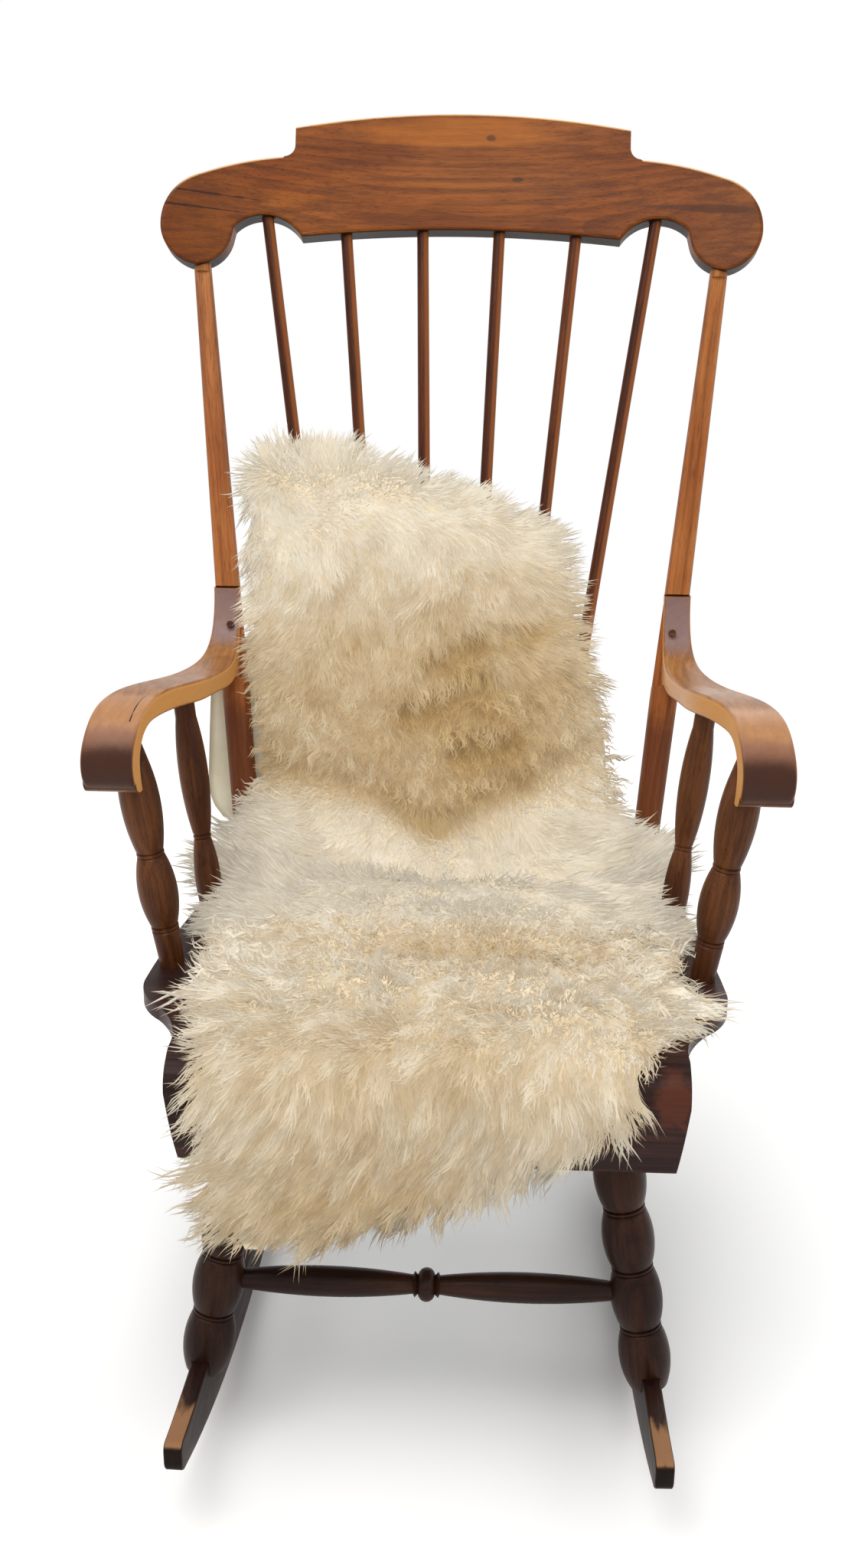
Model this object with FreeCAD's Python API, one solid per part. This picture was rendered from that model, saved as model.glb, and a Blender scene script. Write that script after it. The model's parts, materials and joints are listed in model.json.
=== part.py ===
import FreeCAD, Part
import math
import os

# Rocking chair with a crest rail, six back spindles, rolled arms, turned legs
# and a sheepskin laid over the back and the seat.
# Millimetres. The sitter looks along -Y, +Z is up, and the origin is on the
# floor where both rockers touch it. Left and right are the sitter's own, so
# left is +X.

Vec = FreeCAD.Vector
UP = Vec(0, 0, 1)
SIDE = Vec(1, 0, 0)

# Working values that every piece shares
overrun = 30.0
tenon_clearance = 0.2
edge_round = 3.0

# Rockers: boards on edge that toe in towards the back
rocker_radius = 1110.0
rocker_reach = 380.0
rocker_thickness = 16.0
rocker_tip_height = 27.0
rocker_middle_height = 48.0
rocker_leg_height = 58.0
rocker_front_x = 205.0
rocker_back_x = 182.0
rocker_pin_radius = 4.0
rocker_pin_length = 33.0
rocker_pin_drop = 12.0
rocker_nose = 9.0
rocker_nose_round = 2.25
rocker_edge_round = 2.0

# Seat plank with its two ears, and the roll in front of it
seat_top = 398.0
seat_thickness = 30.0
seat_edge_thickness = 14.0
seat_front_y = -246.0
seat_back_y = 144.0
seat_ear_x = 262.0
seat_neck_x = 219.0
seat_back_x = 226.0
seat_bevel_share = 0.84
saddle_radius = 1450.0
saddle_depth = 7.0
saddle_y = -53.0
roll_depth = 32.0
roll_drop = 95.0
roll_end_taper = 8.0

# Turned legs, four bulbs each
leg_top_x = 151.0
front_leg_top_y = -218.0
front_leg_foot_y = -242.0
rear_leg_top_y = 74.0
rear_leg_foot_y = 198.0
leg_foot_z = 68.0
leg_bulb_radius = 23.0
leg_neck_radius = 18.5
leg_groove_radius = 16.5
leg_foot_radius = 17.0
leg_shoulder_radius = 16.0
leg_tenon_radius = 11.0
leg_tenon_length = 18.0
leg_bulb_pitch = 59.0
leg_first_ring = 60.0
leg_bulb_count = 4
leg_waist_share = 0.88
ring_width = 7.0

# Stretchers between the legs
stretcher_z = 159.0
stretcher_end_radius = 8.5
stretcher_swell_radius = 13.5
stretcher_bead_radius = 15.0
stretcher_bead_width = 15.0
stretcher_tenon_length = 12.0
stretcher_tenon_radius = 7.5
stretcher_housing = 2.2
# The bead's outer and inner collar in half beads, and the collar's girth
stretcher_outer_share = 1.6
stretcher_inner_share = 1.4
stretcher_collar_share = 0.85

# Back posts, from the seat up to the ears of the crest
post_seat_x = 196.0
post_seat_y = 95.0
post_top_y = 343.0
post_top_z = 975.0
post_foot_radius = 12.5
post_swell_radius = 14.0
post_top_radius = 8.9
post_tenon_radius = 8.0
post_foot_tenon_radius = 10.0
post_tenon_length = 24.0
post_flat_depth_low = 8.0
post_flat_depth_top = 5.5
post_swell_share = 0.3

# Six back spindles that fan out towards the crest
spindle_count = 6
spindle_seat_pitch = 40.0
spindle_crest_share = 0.259
spindle_head_share = 0.28
spindle_seat_y = 116.0
spindle_seat_sag = 8.0
spindle_end_radius = 5.0
spindle_swell_radius = 6.5
spindle_top_radius = 6.0
spindle_bow = 9.0
spindle_tenon_length = 20.0
# Along a spindle from the seat: share of its length, and of its swollen girth
spindle_girth_shares = ((0.3, 1.0), (0.6, 0.95))
spindle_neck_share = 0.05

# Crest rail, sawn to shape and bent back in the middle
crest_half_width = 307.0
post_top_share = 0.8616
post_top_x = crest_half_width * post_top_share
crest_height = 176.0
crest_thickness = 26.0
crest_bend_radius = 1300.0
crest_housing = 4.0

# Arms, sawn to an S that laps onto the posts and rolls over in front
arm_top_z = 676.0
arm_lap_drop = 86.0
arm_shoulder_z = arm_top_z - arm_lap_drop
arm_lap_depth = 11.0
arm_length = 344.0
arm_rise = 60.0
arm_thickness = 21.0
arm_width = 47.0
arm_inner_share = 0.29
arm_nose_share = 0.2
arm_edge_share = 0.0105
arm_front_x = 289.0
arm_pin_radius = 3.5
arm_pin_length = 18.0
arm_pin_share = 0.42

# Turned posts under the front of the arms
arm_post_foot_x = 243.0
arm_post_foot_y = -92.0
arm_post_top_x = 273.0
arm_post_top_y = -100.0
arm_post_bulb_radius = 18.0
arm_post_neck_radius = 12.6
arm_post_groove_radius = 11.0
arm_post_top_radius = 8.5
arm_post_tenon_radius = 8.0
# Along the post: its two rings and its cap, and the girth of its neck below the cap
arm_post_low_ring_share = 0.17
arm_post_high_ring_share = 0.49
arm_post_cap_share = 0.86
arm_post_neck_share = 1.15

# Turned spindles under the back of the arms
arm_spindle_foot_x = 221.0
arm_spindle_foot_y = 10.0
arm_spindle_top_x = 244.0
arm_spindle_top_y = 23.0
arm_spindle_bulb_radius = 14.0
arm_spindle_neck_radius = 8.6
arm_spindle_top_radius = 9.8
arm_spindle_tenon_radius = 7.0
# Along the spindle: top of its low bulb, its ring and its cap, and the girths there
arm_spindle_low_share = 0.37
arm_spindle_ring_share = 0.39
arm_spindle_cap_share = 0.93
arm_spindle_low_bulb_share = 0.9
arm_spindle_groove_share = 0.85
arm_tenon_length = 10.0
seat_tenon_length = 20.0
arm_seat_tenon_length = 11.0

# Sheepskin: hide and wool together, laid over the back, seat and front
fleece_thickness = 40.0
fleece_clearance = 3.0
fleece_half_width = 236.0
fleece_back_top_z = 812.0
fleece_front_low_z = 224.0
# Shares of the thickness: height of its rounded edge, how far the edge bulges, how far
# the crease stands off the back, and how far the skin lifts there
fleece_edge_share = 0.5
fleece_bulge_share = 0.2
fleece_crease_share = 0.5
fleece_lift_share = 0.3
fleece_turn_share = 0.3
fleece_shoulder_share = 0.25


def unit(start, end):
    """Direction from one point to another."""
    run = end - start
    return run.multiply(1.0 / run.Length)


def along(start, end, distance):
    """Point at a distance from start on the line to end."""
    return start + unit(start, end) * distance


def stand(shape, start, end):
    """Place a shape built up the Z axis so that it points from start to end,
    with its own X kept level."""
    turn = FreeCAD.Rotation(SIDE, Vec(), unit(start, end), "ZXY")
    shape.Placement = FreeCAD.Placement(start, turn)
    return shape


def cylinder(start, end, radius, before=0.0, after=0.0):
    """Round bar from start to end, lengthened at either end."""
    axis = unit(start, end)
    foot = start - axis * before
    length = (end - start).Length + before + after
    return Part.makeCylinder(radius, length, foot, axis)


def sink(start, end, radius):
    """How deep a slanting shoulder goes into a level face to be housed all round."""
    return radius * math.hypot(end.x - start.x, end.y - start.y) / abs(end.z - start.z)


def mirrored(shape):
    """The same piece for the sitter's right."""
    return shape.mirror(Vec(), SIDE)


def eased(shape, radius, shortest):
    """Round over the edges that are longer than a given length."""
    return shape.makeFillet(radius, [edge for edge in shape.Edges if edge.Length > shortest])


def eased_faces(board, radius):
    """Round over the edges of both broad faces of a board on edge."""
    edges = []
    for edge in board.Edges:
        run = edge.Vertexes[-1].Point - edge.Vertexes[0].Point
        if abs(run.x) < abs(run.y) + abs(run.z):
            edges.append(edge)
    return board.makeFillet(radius, edges)


def outline_face(edges):
    return Part.Face(Part.Wire(edges))


def arc(start, middle, end):
    return Part.Arc(start, middle, end).toShape()


def line(start, end):
    return Part.LineSegment(start, end).toShape()


def curve(points):
    spline = Part.BSplineCurve()
    spline.interpolate(points)
    return spline.toShape()


def turned(path):
    """Turning about Z. The path is a list of (radius, height) points, and a
    third value is the radius that the bulge reaches on its way there."""
    radius, height = path[0][:2]
    edges = [line(Vec(0, 0, height), Vec(radius, 0, height))]
    last = Vec(radius, 0, height)
    for step in path[1:]:
        point = Vec(step[0], 0, step[1])
        if len(step) == 3:
            middle = Vec(step[2], 0, (last.z + point.z) / 2)
            edges.append(arc(last, middle, point))
        else:
            edges.append(line(last, point))
        last = point
    edges.append(line(last, Vec(0, 0, last.z)))
    edges.append(line(Vec(0, 0, last.z), Vec(0, 0, height)))
    return outline_face(edges).revolve(Vec(), UP, 360)


def ring(height, neck, groove):
    """Two grooves with a bead between them, cut round a turned neck."""
    half = ring_width / 2
    return [(neck, height - half), (groove, height - half / 2), (neck, height - half / 4),
            (neck, height + half / 4), (groove, height + half / 2), (neck, height + half)]


def write(name, shapes):
    """One file for each named piece, or for a group of like fasteners."""
    shape = shapes[0] if len(shapes) == 1 else Part.makeCompound(shapes)
    shape.exportStep("parts/" + name + ".step")
    print(name, len(shape.Solids), round(shape.Volume), shape.isValid())


# Rockers

def rocker_centre_x(y):
    middle = (rocker_front_x + rocker_back_x) / 2
    return middle - (rocker_front_x - rocker_back_x) / 2 * y / rocker_reach


def rocker_bottom_z(y):
    return rocker_radius - math.sqrt(rocker_radius ** 2 - y ** 2)


# Top line before and behind its middle: shares of the leg's distance and of the height there
rocker_front_shares = ((1.25, 0.80), (1.0, 1.0), (0.5, 0.914))
rocker_back_shares = ((0.5, 0.914), (1.0, 1.0), (1.5, 0.75))


def rocker_top_point(y, height):
    return Vec(0, y, rocker_bottom_z(y) + height)


def rocker_blank(thickness, lift=0.0):
    """Side outline of a rocker: round below, with a swelling at each leg and
    tips that thin out and end round."""
    reach = rocker_reach
    tip_top = rocker_bottom_z(reach) + rocker_tip_height
    nose = rocker_nose
    soft = rocker_nose_round
    front_bottom = Vec(0, -reach, rocker_bottom_z(reach) + nose)
    back_bottom = Vec(0, reach, rocker_bottom_z(reach) + nose)
    curl = reach - nose
    bottom = arc(Vec(0, -curl, rocker_bottom_z(curl)), Vec(), Vec(0, curl, rocker_bottom_z(curl)))
    back_round = arc(Vec(0, curl, rocker_bottom_z(curl)),
                     Vec(0, reach - soft, rocker_bottom_z(reach) + soft), back_bottom)
    front_round = arc(front_bottom, Vec(0, -reach + soft, rocker_bottom_z(reach) + soft),
                      Vec(0, -curl, rocker_bottom_z(curl)))
    front_shoulder = Vec(0, -reach + nose, tip_top + lift)
    back_shoulder = Vec(0, reach - nose, tip_top + lift)
    crown = [front_shoulder]
    for share, height_share in rocker_front_shares:
        crown.append(rocker_top_point(front_leg_foot_y * share, rocker_leg_height * height_share + lift))
    crown.append(rocker_top_point(0.0, rocker_middle_height + lift))
    for share, height_share in rocker_back_shares:
        crown.append(rocker_top_point(rear_leg_foot_y * share, rocker_leg_height * height_share + lift))
    top = curve(crown + [back_shoulder])
    front_face = arc(front_shoulder, Vec(0, -reach + soft, tip_top - soft + lift / 2),
                     Vec(0, -reach, tip_top - nose))
    back_face = arc(Vec(0, reach, tip_top - nose),
                    Vec(0, reach - soft, tip_top - soft + lift / 2), back_shoulder)
    front_end = line(Vec(0, -reach, tip_top - nose), front_bottom)
    back_end = line(back_bottom, Vec(0, reach, tip_top - nose))
    face = outline_face([bottom, back_round, back_end, back_face, top, front_face,
                         front_end, front_round])
    board = face.extrude(Vec(thickness, 0, 0))
    board.translate(Vec(-thickness / 2, 0, 0))
    toe_in = math.degrees(math.atan((rocker_front_x - rocker_back_x) / 2 / rocker_reach))
    board.rotate(Vec(), UP, toe_in)
    board.translate(Vec(rocker_centre_x(0), 0, 0))
    return board


def rocker():
    board = eased_faces(rocker_blank(rocker_thickness), rocker_edge_round)
    for foot in (front_leg_foot_y, rear_leg_foot_y):
        board = board.cut(rocker_pin(foot, tenon_clearance))
    return board


def rocker_pin(foot_y, extra=0.0):
    """Wooden pin through a leg's cheeks and the rocker between them."""
    z = rocker_bottom_z(foot_y) + rocker_leg_height - rocker_pin_drop
    centre = Vec(rocker_centre_x(foot_y), foot_y, z)
    reach = Vec(rocker_pin_length / 2 + extra, 0, 0)
    return cylinder(centre - reach, centre + reach, rocker_pin_radius + extra)


# Legs

def leg_line(top_y, foot_y):
    """Foot and shoulder of a leg's axis."""
    foot = Vec(rocker_centre_x(foot_y), foot_y, leg_foot_z)
    shoulder = Vec(leg_top_x, top_y, seat_top - seat_thickness)
    return foot, shoulder


def leg_turning(length):
    """Four bulbs between rings, a plain top and a round tenon."""
    path = [(leg_foot_radius, 0)]
    height = leg_first_ring
    path.append((leg_neck_radius, height - ring_width / 2, leg_bulb_radius))
    for bulb in range(leg_bulb_count - 1):
        path += ring(height, leg_neck_radius, leg_groove_radius)[1:]
        height += leg_bulb_pitch
        path.append((leg_neck_radius, height - ring_width / 2, leg_bulb_radius))
    path += ring(height, leg_neck_radius, leg_groove_radius)[1:]
    path.append((leg_shoulder_radius, length * leg_waist_share, leg_neck_radius))
    path.append((leg_shoulder_radius, length))
    path.append((leg_tenon_radius, length))
    path.append((leg_tenon_radius, length + leg_tenon_length))
    return turned(path)


def leg(top_y, foot_y):
    """Turned leg, slotted from below so that it straddles the rocker."""
    foot, shoulder = leg_line(top_y, foot_y)
    length = (shoulder - foot).Length + sink(foot, shoulder, leg_shoulder_radius)
    piece = stand(leg_turning(length), foot, shoulder)
    piece = piece.cut(rocker_blank(rocker_thickness + 2 * tenon_clearance, tenon_clearance))
    return piece.cut(rocker_pin(foot_y, tenon_clearance))


def leg_at_height(top_y, foot_y, z):
    foot, shoulder = leg_line(top_y, foot_y)
    return foot + (shoulder - foot) * ((z - foot.z) / (shoulder.z - foot.z))


# Stretchers

def stretcher_turning(length):
    """Two long swellings either side of a bead, with plain round tenons."""
    end = stretcher_end_radius
    middle = length / 2
    bead = stretcher_bead_width / 2
    tenon = stretcher_tenon_radius
    path = [(tenon, -stretcher_tenon_length), (tenon, 0), (end, 0)]
    outer, inner = bead * stretcher_outer_share, bead * stretcher_inner_share
    collar = stretcher_swell_radius * stretcher_collar_share
    path.append((end, middle - outer, stretcher_swell_radius))
    path.append((collar, middle - inner))
    path.append((end, middle - bead))
    path.append((end, middle + bead, stretcher_bead_radius))
    path.append((collar, middle + inner))
    path.append((end, middle + outer))
    path.append((end, length, stretcher_swell_radius))
    path.append((tenon, length))
    path.append((tenon, length + stretcher_tenon_length))
    return turned(path)


def stretcher_ends(start, end):
    """Where a stretcher's swelling stops, just inside the two legs' surface."""
    inset = leg_bulb_radius - stretcher_housing
    return along(start, end, inset), along(end, start, inset)


def stretcher(start, end):
    shoulder, far = stretcher_ends(start, end)
    return stand(stretcher_turning((far - shoulder).Length), shoulder, far)


def stretcher_sockets(start, end):
    """Housings and holes at both ends of a stretcher."""
    shoulder, far = stretcher_ends(start, end)
    reach = stretcher_tenon_length + tenon_clearance
    return [cylinder(shoulder, far, stretcher_end_radius + tenon_clearance),
            cylinder(shoulder, far, stretcher_tenon_radius + tenon_clearance, reach, reach)]


# Back posts and crest

def post_foot():
    return Vec(post_seat_x, post_seat_y, seat_top)


def post_top():
    return Vec(post_top_x, post_top_y, post_top_z)


def post_at_height(z):
    foot, top = post_foot(), post_top()
    return foot + (top - foot) * ((z - foot.z) / (top.z - foot.z))


def back_lean():
    """Angle of the back from upright, seen from the side."""
    return math.atan((post_top_y - post_seat_y) / (post_top_z - seat_top))


def post_flat_depth(z):
    share = (z - seat_top) / (post_top_z - seat_top)
    return post_flat_depth_low + (post_flat_depth_top - post_flat_depth_low) * share


def post_side_point(z, depth):
    """Point in side view, at a height on the post's axis and a depth behind it."""
    centre = post_at_height(z)
    lean = back_lean()
    return Vec(0, centre.y + depth * math.cos(lean), centre.z - depth * math.sin(lean))


def back_post():
    foot, top = post_foot(), post_top()
    length = (top - foot).Length + crest_height * crest_ear_low_share[1][1] + crest_housing
    swell = length * post_swell_share
    depth = sink(foot, top, post_foot_radius)
    path = [(post_foot_tenon_radius, -depth - seat_tenon_length), (post_foot_tenon_radius, -depth),
            (post_foot_radius, -depth), (post_swell_radius, swell), (post_top_radius, length),
            (post_tenon_radius, length), (post_tenon_radius, length + post_tenon_length)]
    piece = stand(turned(path), foot, top)
    return piece.cut(post_flat_waste()).cut(arm_lap_waste())


def post_flat_waste():
    """Wood shaved off the front of the post above the arm."""
    low = arm_top_z - overrun
    back_low = post_side_point(low, -post_flat_depth(low))
    back_top = post_side_point(post_top_z, -post_flat_depth(post_top_z))
    front_low = post_side_point(low, -overrun)
    front_top = post_side_point(post_top_z, -overrun)
    corners = [back_low, back_top, front_top, front_low, back_low]
    face = Part.Face(Part.makePolygon(corners))
    waste = face.extrude(Vec(2 * overrun + post_top_x - post_seat_x, 0, 0))
    waste.translate(Vec(post_seat_x - overrun + overrun / 2, 0, 0))
    return waste


def arm_lap_waste():
    """Notch in the post's front where the arm's upper end lies."""
    flat = -post_flat_depth(arm_top_z)
    front = flat - overrun
    seat = flat + arm_lap_depth
    corners = [post_side_point(arm_top_z, front), post_side_point(arm_top_z, seat),
               post_side_point(arm_shoulder_z, seat), post_side_point(arm_shoulder_z, front)]
    face = Part.Face(Part.makePolygon(corners + corners[:1]))
    waste = face.extrude(Vec(2 * overrun, 0, 0))
    waste.translate(Vec(post_at_height(arm_top_z).x - overrun, 0, 0))
    return waste


def crest_sag(x):
    """How far the crest's middle line stands behind the posts at x."""
    return math.sqrt(crest_bend_radius ** 2 - x ** 2) - math.sqrt(crest_bend_radius ** 2 - post_top_x ** 2)


# Points round half of the crest, as shares of its half width and its height
crest_top_corner_share = (0.564, 0.886)
crest_top_side_share = (0.564, 0.775)
crest_cove_share = ((0.573, 0.730), (0.606, 0.704))
crest_shoulder_share = ((0.757, 0.648), (0.873, 0.574))
crest_ear_share = ((0.974, 0.432), (1.000, 0.244))
crest_ear_low_share = ((0.964, 0.100), (0.878, 0.030))
crest_ear_inner_share = ((0.806, 0.090), (0.768, 0.205))
crest_step_share = (0.760, 0.268)
crest_hollow_share = ((0.660, 0.350), (0.537, 0.235))
crest_bottom_share = 0.305


def crest_point(share, side):
    return Vec(side * crest_half_width * share[0], 0, crest_height * share[1])


def crest_half_edges(side):
    """Edges of one half of the outline, from the top's corner to the bottom's."""
    edges = []
    last = crest_point(crest_top_corner_share, side)
    step = crest_point(crest_top_side_share, side)
    edges.append(line(last, step))
    last = step
    for shares in (crest_cove_share, crest_shoulder_share, crest_ear_share,
                   crest_ear_low_share, crest_ear_inner_share):
        middle = crest_point(shares[0], side)
        end = crest_point(shares[1], side)
        edges.append(arc(last, middle, end))
        last = end
    step = crest_point(crest_step_share, side)
    edges.append(line(last, step))
    middle = crest_point(crest_hollow_share[0], side)
    end = crest_point(crest_hollow_share[1], side)
    edges.append(arc(step, middle, end))
    return edges


def crest_board():
    """Sawn outline met by the bent board."""
    left = crest_half_edges(1)
    right = crest_half_edges(-1)
    top = arc(crest_point(crest_top_corner_share, -1), Vec(0, 0, crest_height),
              crest_point(crest_top_corner_share, 1))
    bottom = arc(crest_point(crest_hollow_share[1], 1), Vec(0, 0, crest_height * crest_bottom_share),
                 crest_point(crest_hollow_share[1], -1))
    right.reverse()
    face = outline_face([top] + left + [bottom] + right)
    depth = crest_sag(0) + crest_thickness + overrun
    sawn = face.extrude(Vec(0, 2 * depth, 0))
    sawn.translate(Vec(0, -depth, 0))
    edge_x = crest_half_width + overrun
    edges = []
    corners = []
    for offset in (-crest_thickness / 2, crest_thickness / 2):
        ends = [Vec(side * edge_x, crest_sag(edge_x) + offset, 0) for side in (-1, 1)]
        edges.append(arc(ends[0], Vec(0, crest_sag(0) + offset, 0), ends[1]))
        corners.append(ends)
    edges.insert(1, line(corners[0][1], corners[1][1]))
    edges.append(line(corners[1][0], corners[0][0]))
    bent = outline_face(edges).extrude(Vec(0, 0, crest_height + 2 * overrun))
    bent.translate(Vec(0, 0, -overrun))
    return sawn.common(bent)


def lay_back(shape):
    """Turn an upright shape to the lean of the back, on top of the posts."""
    place = FreeCAD.Placement(Vec(0, post_top_y, post_top_z),
                              FreeCAD.Rotation(SIDE, -math.degrees(back_lean())))
    shape.Placement = place.multiply(shape.Placement)
    return shape


def crest_space(x, height, depth=0.0):
    """Point of the crest: x, height above the post tops, depth behind its middle."""
    lean = back_lean()
    away = crest_sag(x) + depth
    return Vec(x, post_top_y + away * math.cos(lean) + height * math.sin(lean),
               post_top_z + height * math.cos(lean) - away * math.sin(lean))


def spindle_foot(number):
    offset = number - (spindle_count - 1) / 2
    x = offset * spindle_seat_pitch
    rim = (spindle_count - 1) / 2 * spindle_seat_pitch
    return Vec(x, spindle_seat_y - spindle_seat_sag * (x / rim) ** 2, seat_top)


def spindle_head(number):
    offset = number - (spindle_count - 1) / 2
    return crest_space(offset * spindle_crest_share * crest_half_width, crest_height * spindle_head_share)


def spindle_stations(number):
    """Places along a spindle's bowed line, with the wood's radius there."""
    foot, head = spindle_foot(number), spindle_head(number)
    behind = unit(foot, head).cross(SIDE)
    reach = (head - foot).Length
    before = seat_tenon_length / reach
    after = spindle_tenon_length / reach
    girths = [(-before, spindle_end_radius), (0.0, spindle_end_radius), (spindle_neck_share, spindle_end_radius)]
    girths += [(share, spindle_swell_radius * girth) for share, girth in spindle_girth_shares]
    girths += [(1.0, spindle_top_radius), (1.0 + after, spindle_top_radius)]
    rows = []
    for share, radius in girths:
        bow = 4 * spindle_bow * share * (1 - share)
        rows.append((foot + (head - foot) * share + behind * bow, radius))
    return rows


def back_spindle(number):
    rows = spindle_stations(number)
    path = unit(rows[0][0], rows[-1][0])
    sections = [Part.Wire(Part.makeCircle(radius, centre, path)) for centre, radius in rows]
    return Part.makeLoft(sections, True, True)


def crest_rail():
    board = lay_back(eased(crest_board(), edge_round, crest_thickness + edge_round))
    for side in (1, -1):
        foot, top = post_foot(), post_top()
        foot.x, top.x = side * foot.x, side * top.x
        housing = crest_height * crest_ear_low_share[1][1] + crest_housing
        reach = housing + post_tenon_length + tenon_clearance
        board = board.cut(cylinder(foot, top, post_top_radius + tenon_clearance, 0, housing))
        board = board.cut(cylinder(foot, top, post_tenon_radius + tenon_clearance, 0, reach))
    for number in range(spindle_count):
        rows = spindle_stations(number)
        board = board.cut(cylinder(rows[-2][0], rows[-1][0], spindle_top_radius + tenon_clearance,
                                   overrun, tenon_clearance))
    return board


# Arms

# Points of the arm's upper edge in side view: shares of the arm's length in
# front of the post's face, and of its rise above the lowest point of the bend
arm_top_shares = ((0.012, 0.62), (0.052, 0.27), (0.110, 0.07), (0.200, 0.0), (0.314, 0.06),
                  (0.477, 0.24), (0.671, 0.47), (0.799, 0.56), (0.901, 0.49),
                  (0.962, 0.27), (1.0, -0.06), (1.0, -0.32), (0.980, -0.53))
arm_under_shares = ((0.930, -0.60), (0.939, -0.31), (0.936, -0.11), (0.916, 0.08),
                    (0.870, 0.21), (0.807, 0.22), (0.660, 0.11), (0.480, -0.10),
                    (0.311, -0.27), (0.180, -0.37))
# Inner and outer edge in plan, as shares of the length in front of the post
arm_plan_shares = ((-0.10, 0.0, 0.60), (0.060, 0.0, 0.64), (0.125, 0.0, 0.73),
                   (0.200, 0.040, 0.82), (0.331, 0.14, 0.91), (0.477, 0.24, 0.98),
                   (0.648, 0.46, 0.99), (0.794, 0.68, 0.97), (0.887, 0.79, 0.98), (1.1, 1.0, 1.0))


def arm_origin():
    """Top of the lap on the post's face, in side view."""
    return post_side_point(arm_top_z, -post_flat_depth(arm_top_z))


def arm_side_point(share):
    low = arm_top_z - arm_rise
    return Vec(0, arm_origin().y - arm_length * share[0], low + arm_rise * share[1])


def arm_side_face():
    flat = -post_flat_depth(arm_top_z)
    seat = flat + arm_lap_depth
    top = [arm_side_point(share) for share in arm_top_shares]
    under = [arm_side_point(share) for share in arm_under_shares]
    crown = curve([arm_origin()] + top)
    nose = arc(top[-1], (top[-1] + under[0]) * 0.5 - Vec(0, 0, arm_thickness * arm_nose_share), under[0])
    shoulder = post_side_point(arm_shoulder_z, -post_swell_radius)
    belly = curve(under + [shoulder])
    lap_low = post_side_point(arm_shoulder_z, seat)
    lap_top = post_side_point(arm_top_z, seat)
    return outline_face([crown, nose, belly, line(shoulder, lap_low), line(lap_low, lap_top),
                         line(lap_top, arm_origin())])


def arm_plan_face():
    inner, outer = [], []
    post_x = post_at_height(arm_top_z).x
    base = post_x - arm_width * arm_inner_share
    sweep = arm_front_x - arm_width / 2 - base
    for forward, drift, width in arm_plan_shares:
        y = arm_origin().y - arm_length * forward
        inside = base + sweep * drift
        inner.append(Vec(inside, y, 0))
        outer.append(Vec(inside + arm_width * width, y, 0))
    outer.reverse()
    return outline_face([curve(inner), line(inner[-1], outer[0]), curve(outer),
                         line(outer[-1], inner[0])])


def arm():
    side = arm_side_face().extrude(Vec(2 * arm_front_x, 0, 0))
    plan = arm_plan_face().extrude(Vec(0, 0, arm_top_z))
    piece = eased(side.common(plan), arm_length * arm_edge_share, arm_length / 2)
    for ends, support, tenon in ((arm_post_line(), arm_post(), arm_post_tenon_radius),
                                 (arm_spindle_line(), arm_spindle(), arm_spindle_tenon_radius)):
        piece = piece.cut(support)
        piece = piece.cut(cylinder(*ends, tenon + tenon_clearance, 0, arm_tenon_length + tenon_clearance))
    return piece.cut(arm_pin(tenon_clearance))


def arm_pin(extra=0.0):
    """Pin driven through the lap into the post."""
    z = arm_shoulder_z + (arm_top_z - arm_shoulder_z) * (1 - arm_pin_share)
    flat = -post_flat_depth(arm_top_z)
    head = post_side_point(z, flat)
    tail = post_side_point(z, flat + arm_pin_length)
    head.x = tail.x = post_at_height(z).x
    return cylinder(head, tail, arm_pin_radius + extra, extra, extra)


# Height of the arm's underside over its two supports, as shares of its rise
arm_post_top_share = 0.20
arm_spindle_top_share = -0.02


def arm_post_line():
    low = arm_top_z - arm_rise
    return (Vec(arm_post_foot_x, arm_post_foot_y, seat_top),
            Vec(arm_post_top_x, arm_post_top_y, low + arm_rise * arm_post_top_share))


def arm_post():
    foot, top = arm_post_line()
    length = (top - foot).Length
    neck, groove = arm_post_neck_radius, arm_post_groove_radius
    low_ring, high_ring = length * arm_post_low_ring_share, length * arm_post_high_ring_share
    depth = sink(foot, top, groove)
    path = [(arm_post_tenon_radius, -depth - arm_seat_tenon_length), (arm_post_tenon_radius, -depth),
            (groove, -depth)]
    path.append((neck, low_ring - ring_width / 2))
    path += ring(low_ring, neck, groove)[1:]
    path.append((neck, high_ring - ring_width / 2, arm_post_bulb_radius))
    path += ring(high_ring, neck, groove)[1:]
    path.append((neck * arm_post_neck_share, length * arm_post_cap_share, arm_post_bulb_radius))
    path.append((arm_post_top_radius, length))
    path.append((arm_post_tenon_radius, length))
    path.append((arm_post_tenon_radius, length + arm_tenon_length))
    return stand(turned(path), foot, top)


def arm_spindle_line():
    low = arm_top_z - arm_rise
    return (Vec(arm_spindle_foot_x, arm_spindle_foot_y, seat_top),
            Vec(arm_spindle_top_x, arm_spindle_top_y, low + arm_rise * arm_spindle_top_share))


def arm_spindle():
    foot, top = arm_spindle_line()
    length = (top - foot).Length
    neck = arm_spindle_neck_radius
    bulb = arm_spindle_bulb_radius
    depth = sink(foot, top, neck)
    path = [(arm_spindle_tenon_radius, -depth - arm_seat_tenon_length),
            (arm_spindle_tenon_radius, -depth), (neck, -depth), (neck, 0),
            (neck, length * arm_spindle_low_share, bulb * arm_spindle_low_bulb_share)]
    path += ring(length * arm_spindle_ring_share, neck, neck * arm_spindle_groove_share)
    path.append((arm_spindle_top_radius, length * arm_spindle_cap_share, bulb))
    path.append((arm_spindle_top_radius, length))
    path.append((arm_spindle_tenon_radius, length))
    path.append((arm_spindle_tenon_radius, length + arm_tenon_length))
    return stand(turned(path), foot, top)


# Seat

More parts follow.
